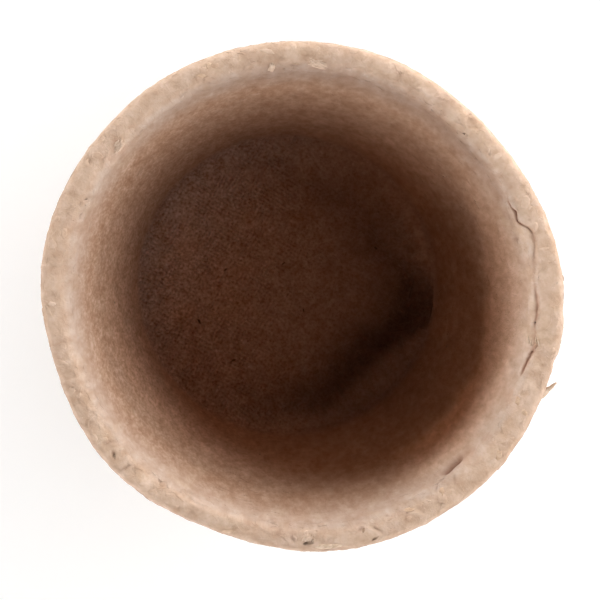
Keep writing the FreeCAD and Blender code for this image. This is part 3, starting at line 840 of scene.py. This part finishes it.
PATCHES = {
    "pink": (5.0, (0, 0, 0), 0.0, 0.50, 0.68, 0.5),
    "yellow": (3.6, (20, 40, 10), 0.0, 0.54, 0.70, 0.6),
    "grey": (2.8, (70, 10, 30), 0.0, 0.56, 0.72, 0.5),
    "tan": (1.9, (40, 60, 20), 0.5, 0.50, 0.72, 0.5),
}
FIBRE_TURNS = [(0, 0, 12), (0, 0, 74), (0, 0, 131), (64, 0, 30), (118, 20, 95)]
FIBRE_STREAK = (9, 1, 1)
THREAD_STREAK = (1, 8, 1)
SPECK_SPACING = 1.5


def patchy_colour(shader, rim, inside, bottom, bare):
    """The zones' own colours, and patches of pink, yellow, grey and tan on them."""

    def patches(name):
        size, turn, distortion, low, high, strength = PATCHES[name]
        noise = shader.noise(size, 3.0, turn=turn, distortion=distortion)
        return shader.span(noise, low, high, 0.0, strength)

    # On the rim, the flat top gets the warmer colour: painted warm bounce light
    rim_colour = shader.mix(shader.attribute("top"), RIM_COLOUR, TOP_PAINTED_LIGHT_COLOUR)
    # Outside, the darker outer colour holds painted shade
    colour = shader.mix(inside, OUTER_PAINTED_SHADE_COLOUR, INNER_COLOUR)
    colour = shader.mix(bottom, colour, FLOOR_COLOUR)
    colour = shader.mix(rim, colour, rim_colour)
    pink = shader.faded(patches("pink"), bare, 1.0, 0.35)
    colour = shader.mix(pink, colour, shader.mix(inside, PINK_COLOUR, DEEP_PINK_COLOUR))
    colour = shader.mix(shader.faded(patches("yellow"), rim, 0.35, 0.8), colour, YELLOW_COLOUR)
    grey = shader.faded(shader.faded(patches("grey"), inside, 1.0, 0.3), rim, 1.0, 0.1)
    colour = shader.mix(grey, colour, GREY_COLOUR)
    return shader.mix(shader.times(patches("tan"), rim), colour, TAN_COLOUR)


def shaded(shader, colour, mottle, rim, bare):
    """The colour with mottling, pits, painted shade and light from its relief and its own tone, then
    stained, and darkened by painted shade and lightened by painted light.
    """
    tone = shader.swing(mottle, 0.25, 0.75, -0.14, 0.14, shader.span(rim, 0, 1, 1.3, 1.0))
    fine_mottle = shader.noise(0.8, 3.0, turn=(50, 15, 5))
    fine_share = shader.span(rim, 0, 1, 1.5, 0.7)
    tone = shader.times(tone, shader.swing(fine_mottle, 0.28, 0.72, -0.10, 0.10, fine_share))
    # Painted shade in the hollows of the stored relief and painted light on its tops
    tone = shader.times(tone, shader.span(shader.attribute("relief"), -0.16, 0.14, 0.84, 1.08))
    pits = shader.noise(0.7, 4.0, turn=(5, 45, 65), distortion=0.4)
    tone = shader.times(tone, shader.swing(pits, 0.30, 0.62, -0.34, 0.16, bare))
    tone = shader.times(tone, shader.span(shader.attribute("shade"), -1, 2, 0.80, 1.20))
    colour = shader.toned(colour, tone)
    colour = shader.mix(shader.times(shader.attribute("stain"), 0.92), colour, STAIN_COLOUR)
    # Painted light where the stored darkness is below zero and painted shade where it is above
    dark = shader.attribute("dark")
    lighter = shader.math("MAXIMUM", shader.math("SUBTRACT", 1.0, dark), 1.0)
    colour = shader.lighten(colour, lighter)
    return shader.mix(shader.math("MAXIMUM", dark, 0.0), colour, SHADE_COLOUR, "MULTIPLY")


def screen_print(shader, across, bottom):
    """The print of the forming screen: two sets of lines, each stronger in its own patches, and stronger
    towards -X as painted light and shade of its relief where raking light falls.
    """
    lines = shader.axes(shader.turned((1, 1, 1), (0, 0, -SCREEN_TURN)))
    warp = shader.span(shader.noise(6.0, 2.0), 0.3, 0.7, -SCREEN_WARP * MM, SCREEN_WARP * MM)
    prints = []
    for axis, turn in ((0, (5, 15, 60)), (1, (45, 5, 10))):
        run = shader.math("ADD", lines[axis], warp)
        line = shader.math("SINE", shader.times(run, 2 * math.pi / (SCREEN_PITCH * MM)))
        prints.append(shader.times(line, shader.span(shader.noise(2.6, 2.0, turn=turn), 0.40, 0.62)))
    towards_left = shader.span(across, 6 * MM, -8 * MM, 0.12, 1.0)
    return shader.times(shader.math("ADD", *prints), shader.times(bottom, towards_left))


def pulp_material():
    """Felt of peat and wood fibre: mottled, specked, with fibres lying every way."""
    shader = Shader("peat_pulp")
    rim, inside, bottom = (shader.attribute(name) for name in ("rim", "inside", "bottom"))
    off_rim = shader.math("SUBTRACT", 1.0, rim)
    bare = shader.times(shader.math("SUBTRACT", 1.0, inside), off_rim)

    # Inside, the mottling is drawn out down the wall, as the former left it
    x, y, z = shader.axes(shader.coordinates)
    z = shader.faded(shader.math("SUBTRACT", z, HEIGHT * MM), inside, 1.0, WALL_STRETCH)
    shader.coordinates = shader.node("CombineXYZ", {0: x, 1: y, 2: z}).outputs[0]
    mottle = shader.noise(1.5, 4.0, turn=(15, 25, 35))
    colour = patchy_colour(shader, rim, inside, bottom, bare)
    colour = shaded(shader, colour, mottle, rim, bare)

    strongest = 0.0
    for turn in FIBRE_TURNS:
        streak = shader.noise(0.30, 1.5, stretch=FIBRE_STREAK, turn=turn, distortion=0.6)
        strongest = shader.math("MAXIMUM", strongest, shader.span(streak, 0.60, 0.78))
    pale = shader.faded(shader.faded(strongest, inside, 0.40, 0.12), rim, 1.0, 0.32)
    colour = shader.mix(pale, colour, PALE_COLOUR)
    threads = shader.noise(0.26, 1.0, stretch=THREAD_STREAK, turn=(10, 5, 47), distortion=0.8)
    threads = shader.faded(shader.span(threads, 0.64, 0.80), bare, 0.18, 0.60)
    colour = shader.mix(threads, colour, THREAD_COLOUR)
    specks = shader.node("TexVoronoi", {"Vector": shader.turned([SPECK_SPACING * MM] * 3),
                                        "Scale": 1.0, "Randomness": 1.0}).outputs
    speck_size = shader.span(specks["Color"], 0.80, 1.0, 0.0, 0.13)
    speck = shader.span(shader.math("SUBTRACT", speck_size, specks["Distance"]), 0.0, 0.05)
    colour = shader.mix(shader.faded(speck, rim, 0.6, 0.1), colour, SPECK_COLOUR)

    print_height = screen_print(shader, x, bottom)
    colour = shader.lighten(colour, shader.span(print_height, -1, 1, 0.93, 1.08))
    # The grain is painted stronger on the floor and the inner wall towards -X: real grain, with painted
    # light and shade of raking light on that side
    on_floor = shader.times(bottom, shader.span(x, 14 * MM, -16 * MM, 0.38, 1.1))
    on_wall = shader.times(inside, shader.span(x, 4 * MM, -22 * MM, 0.10, 0.60))
    share = shader.math("MAXIMUM", on_floor, shader.times(on_wall, off_rim))
    grain = shader.noise(0.38, 2.0, turn=(25, 35, 5))
    colour = shader.toned(colour, shader.swing(grain, 0.30, 0.70, -0.34, 0.34, share))

    normal = None
    for height, distance in ((shader.noise(0.22, 3.0), 0.05),
                             (shader.faded(strongest, rim, 1.0, 0.35), 0.05),
                             (shader.noise(0.55, 3.0, turn=(35, 5, 15)), 0.10),
                             (print_height, 0.08), (shader.times(speck, -1.0), 0.04)):
        normal = shader.bump(height, distance, normal)
    return shader.finish(colour, normal, shader.span(mottle, 0.3, 0.7, 0.90, 1.0), 0.2)


def wood_material(name, base, deep, pale):
    """Raw wood or bark: grain along no particular axis, with dark pores."""
    shader = Shader(name)
    grain = shader.noise(0.14, 3.0, stretch=(4, 1, 4), turn=(0, 0, 25), distortion=0.4)
    colour = shader.mix(shader.span(grain, 0.35, 0.68), deep, base)
    patch = shader.span(shader.noise(0.7, 2.0), 0.45, 0.70, 0.0, 0.8)
    colour = shader.mix(patch, colour, pale)
    pores = shader.noise(0.11, 1.0, stretch=(1, 5, 1), turn=(20, 0, 60))
    colour = shader.mix(shader.span(pores, 0.66, 0.76, 0.0, 0.5), colour, deep)
    normal = shader.bump(pores, 0.02, shader.bump(grain, 0.04))
    return shader.finish(colour, normal, shader.span(grain, 0.3, 0.7, 0.75, 0.95), 0.3)


# Base, deep and pale colour of each wood and bark

WOODS = {
    "pale_wood": ((0.68, 0.51, 0.38), (0.48, 0.33, 0.22), (0.74, 0.58, 0.45)),
    "orange_wood": ((0.63, 0.44, 0.30), (0.52, 0.34, 0.23), (0.66, 0.48, 0.35)),
    "pale_fibre": ((0.66, 0.49, 0.375), (0.56, 0.40, 0.295), (0.71, 0.55, 0.43)),
    "bark": ((0.17, 0.105, 0.065), (0.06, 0.035, 0.022), (0.30, 0.20, 0.13)),
    "worn_bark": ((0.42, 0.28, 0.19), (0.30, 0.19, 0.12), (0.50, 0.36, 0.26)),
}

pulp = pulp_material()
wood = {name: wood_material(name, *colours) for name, colours in WOODS.items()}

# The cup: a dense grid of the surface, thinned where it is smooth. The grid's rings have a
# step of their own up to each of these stations, and near the split they run along it.

COLUMNS = 1100
GRID_STEPS = [
    (FOOT_INSIDE_END, 0.8), (FOOT_END, 0.4), (BAND_END, 0.42),
    (RIM_START, 0.22), (TOP_END - 0.6, 0.14), (RIM_END + 2.0, 0.085), (RIM_END + 7.0, 0.2),
    (WALL_END, 0.36), (OUTLINE_END - 2.0, 0.28), (OUTLINE_END, 0.5),
]
SPLIT_HOLD = 0.4
SPLIT_FADE = 2.4
MAX_TRIANGLES = 196000


def cup_grid():
    """Stations and azimuths of the cup's grid."""
    stations, start = [], 0.0
    for end, step in GRID_STEPS:
        count = max(2, round((end - start) / step))
        stations.extend(np.linspace(start, end, count, endpoint=False))
        start = end
    azimuths = (np.arange(COLUMNS) + 0.5) / COLUMNS * 2 * math.pi - math.pi
    s, azimuth = (grid.ravel() for grid in np.meshgrid(stations[1:], azimuths, indexing="ij"))
    pull = smooth(1 - (np.abs(s - SPLIT_MIDDLE) - SPLIT_HOLD) / SPLIT_FADE)
    target = np.where(split_side(azimuth), split_station(azimuth) - SPLIT_MIDDLE, 0)
    ends = smooth((SPLIT_SIDE - np.abs(np.degrees(azimuth))) / SPLIT_SIDE_FADE)
    return s + pull * target * ends, azimuth


def build_cup():
    """The whole cup as one closed skin, with a fan of faces in the middle of both ends."""
    s, azimuth = cup_grid()
    places, _, fine = surface(s, azimuth)
    middles = surface(np.array([0.0, OUTLINE_END]), np.zeros(2))[0]
    middles[:, :2] = 0
    first, last, top = len(places), len(places) + 1, len(places) - COLUMNS
    column = np.arange(COLUMNS)
    following = (column + 1) % COLUMNS
    bottom_fan = np.stack([np.full(COLUMNS, first), following, column], 1)
    top_fan = np.stack([np.full(COLUMNS, last), top + column, top + following], 1)
    quads = tube_sides(len(places) // COLUMNS, COLUMNS)
    faces = quads.tolist() + bottom_fan.tolist() + top_fan.tolist()
    mesh = bpy.data.meshes.new("pot_dense")
    mesh.from_pydata((np.concatenate([places, middles]) * MM).tolist(), [], faces)
    felt_layers(mesh, np.concatenate([s, [0, OUTLINE_END]]), np.concatenate([azimuth, [0, 0]]),
                np.concatenate([fine, [0, 0]]), 0.5)

    dense = in_scene("pot_dense", mesh)
    triangles = 2 * len(quads) + 2 * COLUMNS
    dense.modifiers.new("thin", "DECIMATE").ratio = MAX_TRIANGLES / triangles
    evaluated = dense.evaluated_get(bpy.context.evaluated_depsgraph_get())
    thinned = bpy.data.meshes.new_from_object(evaluated)
    bpy.data.objects.remove(dense)
    bpy.data.meshes.remove(mesh)
    thinned.name = "moulded_pot"
    thinned.polygons.foreach_set("use_smooth", [True] * len(thinned.polygons))
    thinned.materials.append(pulp)
    return in_scene("moulded_pot", thinned)


cup = build_cup()
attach(cup, BODY)
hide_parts("pot_body")

# Fibres and flakes that lie on the pulp

FIBRE_SIDES = 4
FIBRE_FLATNESS = 0.7
FIBRE_TAPER_POWER = 2.6
FIBRE_END_SHARE = 0.03
FIBRE_LIFT_SHARE = 0.16
# The relief that fibres store, which the pulp's colour reads as a little painted light
FIBRE_RELIEF = 0.05
FIBRE_BOW_MIDDLE = 0.33
FIBRE_WAVES = 4
FIBRE_WAVE_SHIFT = 6
LENGTH_POWER = 1.6
STRAY_GAIN = 1.6
LEAST_RADIUS = 2.0


def held(s):
    """Stations, kept on the outline."""
    return np.clip(s, FINE_STEP, OUTLINE_END - FINE_STEP)


def angle_of(around, s):
    """The angle that a way round the pot takes at a station."""
    return around / np.maximum(np.interp(s, fine_s, fine_radius), LEAST_RADIUS)


def tube_faces(count, stations, sides):
    """Faces of tubes, each with as many rings of as many corners, closed at both ends."""
    shift = (np.arange(count) * stations * sides)[:, None, None]
    ring = np.arange(sides)
    ends = np.stack([ring[::-1], (stations - 1) * sides + ring])
    quads = tube_sides(stations, sides)[None] + shift
    return quads.reshape(-1, 4).tolist() + (ends[None] + shift).reshape(-1, sides).tolist()


def lay_fibres(name, draw, s_middle, azimuth_middle, length, width, heading, rise, tone,
               bend=0.22, stations=6, material=None, contrast=1.0):
    """Thin tapered fibres that follow the pulp, each at its own place and heading.

    The heading is the angle from the way down the outline to the way round the pot, and
    the rise is how far the fibre's far end stands off.
    """
    count = len(s_middle)
    s_middle, azimuth_middle, length, width, heading, rise, tone = (
        np.reshape(part, (count, 1))
        for part in (s_middle, azimuth_middle, length, width, heading, rise, tone))
    t = np.linspace(-1, 1, stations)
    curve = draw.normal(0, bend, (count, 1)) * length
    wave = draw.normal(0, bend / 4, (count, 1)) * length
    run = length / 2 * t
    side = curve * (t ** 2 - FIBRE_BOW_MIDDLE)
    side = side + wave * np.sin(FIBRE_WAVES * t + tone * FIBRE_WAVE_SHIFT)
    s = held(s_middle + run * np.cos(heading) - side * np.sin(heading))
    azimuth = azimuth_middle + angle_of(run * np.sin(heading) + side * np.cos(heading), s)
    taper = np.sqrt(np.maximum(1 - np.abs(t) ** FIBRE_TAPER_POWER, FIBRE_END_SHARE))
    lift = width * FIBRE_LIFT_SHARE - (1 - taper) * width / 2 + rise * np.maximum(0, t) ** 2
    places, normals, _ = surface(s.ravel(), azimuth.ravel(), lift.ravel())
    places = places.reshape(count, stations, 3)
    normals = normals.reshape(count, stations, 3)
    forward = np.gradient(places, axis=1)
    forward /= np.linalg.norm(forward, axis=2, keepdims=True)
    across = np.cross(forward, normals)
    across /= np.linalg.norm(across, axis=2, keepdims=True)
    up = np.cross(across, forward)
    corner = np.arange(FIBRE_SIDES) / FIBRE_SIDES * 2 * math.pi + math.pi / FIBRE_SIDES
    half = (width * taper / 2)[:, :, None, None]
    ring = (across[:, :, None] * np.cos(corner)[None, None, :, None]
            + up[:, :, None] * np.sin(corner)[None, None, :, None] * FIBRE_FLATNESS)
    corners = (places[:, :, None] + ring * half).reshape(-1, 3)
    piece = mesh_object(name, corners, tube_faces(count, stations, FIBRE_SIDES), material or pulp)
    shade = np.repeat(0.5 + (tone - 0.5) * contrast, stations * FIBRE_SIDES)
    felt_layers(piece.data, np.repeat(s.ravel(), FIBRE_SIDES),
                np.repeat(azimuth.ravel(), FIBRE_SIDES), FIBRE_RELIEF, shade)
    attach(piece, BODY)
    return piece


def scatter_fibres(name, seed, count, span, lengths, widths, along, stray, stray_height, contrast):
    """Fibres strewn on a stretch of the outline, as a row of FIBRES says."""
    draw = np.random.default_rng(seed)
    s_middle = draw.uniform(*span, count)
    azimuth_middle = draw.uniform(-math.pi, math.pi, count)
    shortest, longest = lengths
    length = draw.uniform(0, 1, count) ** LENGTH_POWER * (longest - shortest) + shortest
    width = draw.uniform(*widths, count)
    heading = np.radians(draw.normal(90, along, count))
    strays = draw.uniform(0, 1, count) < stray
    rise = draw.uniform(0.3, 1, count) * stray_height * strays * length / longest * STRAY_GAIN
    tone = draw.uniform(0, 1, count)
    piece = lay_fibres(name, draw, s_middle, azimuth_middle, length, width, heading, rise, tone,
                       contrast=contrast)


# A flake is a few rings of corners and a middle: how far out and how high each ring is

FLAKE_SIDES = 9
FLAKE_REACH = np.array([1.0, 0.82, 0.42])
FLAKE_HEIGHT = np.array([-0.25, 0.75, 1.0])
FLAKE_MIDDLE_HEIGHT = 0.95
# The relief that flakes store, which the pulp's colour reads as a little painted light
FLAKE_RELIEF = 0.03
FLAKE_SIZE_POWER = 2.0


def lay_flakes(name, draw, s_middle, azimuth_middle, length, width, heading, rise, tone,
               ragged=(0.68, 1.2), material=None):
    """Small flat flakes pressed on the pulp, with ragged edges."""
    count, rings = len(s_middle), len(FLAKE_REACH)
    length, width, heading, rise = (part[:, None, None] for part in (length, width, heading, rise))
    corner = np.arange(FLAKE_SIDES) / FLAKE_SIDES * 2 * math.pi
    spread = draw.uniform(*ragged, (count, FLAKE_SIDES))[:, None, :] * FLAKE_REACH[None, :, None]
    u = spread * np.cos(corner) * length / 2
    v = spread * np.sin(corner) * width / 2
    s = (s_middle[:, None, None] + u * np.cos(heading) - v * np.sin(heading)).reshape(count, -1)
    around = (u * np.sin(heading) + v * np.cos(heading)).reshape(count, -1)
    lift = rise * FLAKE_HEIGHT[None, :, None]
    lift = (lift * draw.uniform(0.7, 1.2, (count, 1, FLAKE_SIDES))).reshape(count, -1)
    s = held(np.concatenate([s, s_middle[:, None]], 1))
    around = np.concatenate([around, np.zeros((count, 1))], 1)
    azimuth = azimuth_middle[:, None] + angle_of(around, s[:, -1:])
    lift = np.concatenate([lift, rise[:, 0] * FLAKE_MIDDLE_HEIGHT], 1)
    places, _, _ = surface(s.ravel(), azimuth.ravel(), lift.ravel())
    middle = FLAKE_SIDES * rings
    ring = np.arange(FLAKE_SIDES)
    top = middle - FLAKE_SIDES
    fan = np.stack([top + ring, np.full(FLAKE_SIDES, middle), top + (ring + 1) % FLAKE_SIDES], 1)
    faces = tube_sides(rings, FLAKE_SIDES)[:, [0, 3, 2, 1]].tolist() + fan.tolist() + [ring.tolist()]
    every = [[index + number * (middle + 1) for index in face]
             for number in range(count) for face in faces]
    piece = mesh_object(name, places, every, material or pulp)
    felt_layers(piece.data, s.ravel(), azimuth.ravel(), FLAKE_RELIEF, np.repeat(tone, middle + 1))
    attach(piece, BODY)
    return piece


def scatter_flakes(name, seed, count, span, sizes, slim, thickness):
    """Flakes of pulp strewn on a stretch of the outline, as a row of FLAKES says."""
    draw = np.random.default_rng(seed)
    s_middle = draw.uniform(*span, count)
    azimuth_middle = draw.uniform(-math.pi, math.pi, count)
    smallest, largest = sizes
    size = draw.uniform(0, 1, count) ** FLAKE_SIZE_POWER * (largest - smallest) + smallest
    squeeze = draw.uniform(slim, 0.9, count)
    heading = draw.uniform(0, math.pi, count)
    rise = draw.uniform(0.4, 1.0, count) * thickness * np.minimum(1, size)
    tone = draw.uniform(0, 1, count)
    piece = lay_flakes(name, draw, s_middle, azimuth_middle, size, size * squeeze, heading, rise,
                       tone)


# Fibres: piece, seed, count, stretch of the outline, lengths, widths, spread of the headings
# about the way round the pot in degrees, share of them with an end that stands off and how
# far at most, and contrast of tone
# Flakes: piece, seed, count, stretch of the outline, sizes, least width to length, thickness

FIBRES = [
    ("rim_fibres", 11, 900, (RIM_START - 1.0, RIM_END + 0.3), (0.5, 3.0), (0.05, 0.10), 55, 0, 0, 1),
    ("inner_fibres", 12, 1300, (RIM_END, WALL_END), (0.6, 3.5), (0.04, 0.09), 40, 0.03, 0.2, 1),
    ("outer_fibres", 13, 3000, (FOOT_START, BAND_START), (0.7, 4.5), (0.05, 0.16), 50, 0.12, 0.45, 3),
    ("band_fibres", 15, 500, (BAND_START, RIM_START), (0.7, 3.5), (0.05, 0.14), 40, 0, 0, 2.5),
    ("floor_fibres", 14, 500, (WALL_END, OUTLINE_END - 1.0), (0.5, 2.6), (0.04, 0.09), 90, 0.03, 0.2, 1),
]
FLAKES = [
    ("rim_flakes", 21, 240, (RIM_START + 0.4, RIM_END), (0.4, 1.9), 0.25, 0.055),
    ("outer_flakes", 22, 900, (FOOT_END, RIM_START), (0.4, 2.4), 0.25, 0.14),
    ("inner_flakes", 23, 160, (RIM_END, WALL_END), (0.3, 1.2), 0.3, 0.05),
]
for row in FIBRES:
    scatter_fibres(*row)
for row in FLAKES:
    scatter_flakes(*row)

# The bits of wood and bark, each on the place of its own solid in the frame. A bundle's
# strands lie off its middle by shares of its length and width, and have shares of its length.

PLACE_DIGITS = 4
STRAND_OFFSET_SHARES = (0.22, 0.27)
STRAND_LENGTH_SHARES = (0.45, 0.95)
STRAND_BEND = 0.10
STRAND_STATIONS = 8


def islands(node):
    """The separate solids of a frame node, each as an array of its corners."""
    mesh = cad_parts[node].data
    places = np.array([vertex.co for vertex in mesh.vertices], float) / MM
    keys, same = np.unique(places.round(PLACE_DIGITS), axis=0, return_inverse=True)
    label = np.arange(len(keys))
    polygons = [same.ravel()[list(face.vertices)] for face in mesh.polygons]
    changed = True
    while changed:
        changed = False
        for corners in polygons:
            lowest = label[corners].min()
            if (label[corners] != lowest).any():
                label[corners] = lowest
                changed = True
    return [keys[label == value] for value in np.unique(label)]


def seat_of(middle):
    """The outline's station nearest to a place, and the place's azimuth."""
    radius = math.hypot(middle[0], middle[1])
    azimuth = math.atan2(middle[1], middle[0])
    upper = fine_s > BAND_START
    gaps = np.hypot(fine_radius - radius, fine_height - middle[2]) + np.where(upper, 0, 1e3)
    return fine_s[gaps.argmin()], azimuth


def lie_of(corners):
    """Where a frame solid lies on the pulp: station, azimuth, length, width and heading."""
    middle = corners.mean(0)
    station, azimuth = seat_of(middle)
    cosine, sine = math.cos(azimuth), math.sin(azimuth)
    around = np.array([-sine, cosine, 0])
    tilt = np.interp(station, fine_s, slope_radius)
    down = np.array([cosine * tilt, sine * tilt, np.interp(station, fine_s, slope_height)])
    down /= np.linalg.norm(down)
    flat = np.stack([(corners - middle) @ down, (corners - middle) @ around], 1)
    across, forward = np.linalg.eigh(flat.T @ flat)[1].T
    length, width = np.ptp(flat @ forward), np.ptp(flat @ across)
    return station, azimuth, length, width, math.atan2(forward[1], forward[0])


def chips(name, node, seed, material, rise, ragged=(0.6, 1.15), wider=1.0):
    """Ragged chips, one for each solid of a frame node, which they replace."""
    draw = np.random.default_rng(seed)
    lies = np.array([lie_of(corners) for corners in islands(node)])
    count = len(lies)
    piece = lay_flakes(name, draw, lies[:, 0], lies[:, 1], lies[:, 2], lies[:, 3] * wider, lies[:, 4],
                       np.full(count, rise), draw.uniform(0, 1, count), ragged, material)
    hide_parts(node)


def bundles(name, node, seed, material, strands, widths, spread, rise):
    """Bundles of fibres, one for each solid of a frame node, which they replace."""
    draw = np.random.default_rng(seed)
    s, azimuth, length, heading = [], [], [], []
    reach, scatter = STRAND_OFFSET_SHARES
    for corners in islands(node):
        station, turn, long, wide, way = lie_of(corners)
        off_along = draw.uniform(-reach, reach, strands) * long
        off_across = draw.normal(0, scatter, strands) * wide
        radius = np.interp(station, fine_s, fine_radius)
        s.append(station + off_along * math.cos(way) - off_across * math.sin(way))
        azimuth.append(turn + (off_along * math.sin(way) + off_across * math.cos(way)) / radius)
        length.append(draw.uniform(*STRAND_LENGTH_SHARES, strands) * long)
        heading.append(way + np.radians(draw.normal(0, spread, strands)))
    s, azimuth, length, heading = (np.concatenate(part) for part in (s, azimuth, length, heading))
    count = len(s)
    piece = lay_fibres(name, draw, s, azimuth, length, draw.uniform(*widths, count), heading,
                       draw.uniform(0, rise, count), draw.uniform(0, 1, count), STRAND_BEND,
                       STRAND_STATIONS, material)
    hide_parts(node)


chips("wood_chips", "rim_chips", 31, wood["orange_wood"], 0.07, (0.45, 1.2), 1.15)
bundles("pale_bundles", "fibre_bundles", 32, wood["pale_fibre"], 20, (0.12, 0.26), 13,
        0.05)
chips("rim_bark", "bark_flecks", 33, wood["worn_bark"], 0.03, wider=0.8)
chips("wall_bark", "wall_flecks", 34, wood["worn_bark"], 0.04, wider=0.7)
chips("floor_bark", "floor_flecks", 35, wood["bark"], 0.04, wider=0.7)
chips("long_sliver", "edge_sliver", 36, wood["pale_wood"], 0.12, (0.8, 1.1))
bundles("split_flake", "crack_flake", 37, wood["pale_wood"], 5, (0.14, 0.24), 12, 0.15)

WHISKER_SEED = 38
WHISKER_STATIONS = 14
WHISKER_SIDES = 8
WHISKER_END = 0.1
WHISKER_BOW = 0.16
WHISKER_WAVE = 0.10
WHISKER_WAVES = 2.6
WHISKER_RAGGED = 0.16
WHISKER_FLATNESS = 0.8
ROOT_SHARE = 2.4


def whisker():
    """The splinter that sticks out of the rim: a bent, tapering strand with a thick root."""
    corners = islands("rim_whisker")[0]
    middle = corners.mean(0)
    axis = np.linalg.eigh((corners - middle).T @ (corners - middle))[1][:, 2]
    run = (corners - middle) @ axis
    away = np.linalg.norm(corners - middle - np.outer(run, axis), axis=1)
    if away[run > 0].max() > away[run < 0].max():
        axis, run = -axis, -run
    root, tip = middle + axis * run.min(), middle + axis * run.max()
    thick = away[run < run.min() + WHISKER_END].max() * ROOT_SHARE
    thin = away[run > run.max() - WHISKER_END].max()
    draw = np.random.default_rng(WHISKER_SEED)
    side = np.cross(axis, (0, 0, 1))
    side /= np.linalg.norm(side)
    up = np.cross(side, axis)
    places = []
    angle = np.arange(WHISKER_SIDES) / WHISKER_SIDES * 2 * math.pi
    for t in np.linspace(0, 1, WHISKER_STATIONS):
        centre = root + (tip - root) * t + side * WHISKER_BOW * math.sin(math.pi * t)
        centre = centre + up * WHISKER_WAVE * math.sin(WHISKER_WAVES * math.pi * t)
        reach = thick + (thin - thick) * t ** 2
        reach = reach * (1 + WHISKER_RAGGED * draw.normal(size=WHISKER_SIDES))
        places.append(centre + np.outer(np.cos(angle) * reach, side)
                      + np.outer(np.sin(angle) * reach * WHISKER_FLATNESS, up))
    piece = mesh_object("whisker", np.concatenate(places),
                        tube_faces(1, WHISKER_STATIONS, WHISKER_SIDES), wood["pale_wood"])
    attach(piece, BODY)
    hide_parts("rim_whisker")


whisker()

# The floor, the light and the camera

STAGE_RADIUS = 3000.0
STAGE_SIDES = 96
STAGE_COLOUR = (0.98, 0.98, 0.98, 1.0)
STAGE_ROUGHNESS = 0.9
STAGE_SPECULAR = 0.1
STAGE_GLOW = 0.16


def stage():
    """A wide pale floor that glows a little."""
    angle = np.arange(STAGE_SIDES) / STAGE_SIDES * 2 * math.pi
    shader = Shader("stage")
    material = shader.finish(STAGE_COLOUR, None, STAGE_ROUGHNESS, STAGE_SPECULAR)
    shader.body.inputs["Emission Color"].default_value = (1, 1, 1, 1)
    shader.body.inputs["Emission Strength"].default_value = STAGE_GLOW
    ground = mesh_object("stage", ring_places(angle, STAGE_RADIUS),
                         [list(range(STAGE_SIDES))], material, False)


stage()

# Soft light from a low bright band all round: its strength, as a middle value and its
# change towards +X, +Y and upwards, and the height of its upper edge, as a middle value
# and its change towards +X and +Y

BAND_STRENGTH = (5.75, -1.0, 2.4, -3.4)
BAND_TOP = (0.67, 0.31, -0.27)
BAND_FADE_HEIGHT = 0.05
LOW_SHARE = 0.75
LOW_HEIGHT = 0.2


def studio_light():
    """The world's light, worked out from the direction that it comes from."""
    world = bpy.data.worlds.new("studio")
    bpy.context.scene.world = world
    sky = Nodes(world)
    x, y, z = sky.node("SeparateXYZ", {0: sky.node("TexCoord").outputs["Generated"]}).outputs

    def plane(middle, by_x, by_y, by_z=0.0):
        tilt = sky.math("ADD", sky.times(x, by_x), sky.times(y, by_y))
        return sky.math("ADD", sky.times(z, by_z), sky.math("ADD", tilt, middle))

    below_edge = sky.math("SUBTRACT", plane(*BAND_TOP), z)
    inside_band = sky.math("DIVIDE", below_edge, BAND_FADE_HEIGHT, clamp=True)
    low = sky.math("DIVIDE", z, LOW_HEIGHT, clamp=True)
    low = sky.math("MULTIPLY_ADD", low, 1 - LOW_SHARE, LOW_SHARE)
    strength = sky.times(sky.times(plane(*BAND_STRENGTH), inside_band), low)
    background = sky.node("Background", {"Strength": strength})
    sky.node("OutputWorld", {"Surface": background.outputs[0]})


studio_light()
bpy.context.scene.view_settings.view_transform = "Standard"

# The photograph was taken nearly straight down, from a little to the left and above

CAMERA_PLACE = (-9.53, 8.31, 288.0)
CAMERA_AIM = (-0.39, -0.20, 60.0)
CAMERA_LENS = 117.9
SENSOR = 36.0
CLIP_START = 0.01


def camera():
    made = in_scene("camera", bpy.data.cameras.new("camera"))
    made.data.lens = CAMERA_LENS
    made.data.sensor_width = SENSOR
    made.data.clip_start = CLIP_START
    place, aim = Vector(CAMERA_PLACE) * MM, Vector(CAMERA_AIM) * MM
    back = (place - aim).normalized()
    right = Vector((0, 1, 0)).cross(back).normalized()
    top = back.cross(right)
    turn = Matrix((right, top, back)).transposed().to_4x4()
    made.matrix_world = Matrix.Translation(place) @ turn
    bpy.context.scene.camera = made


camera()
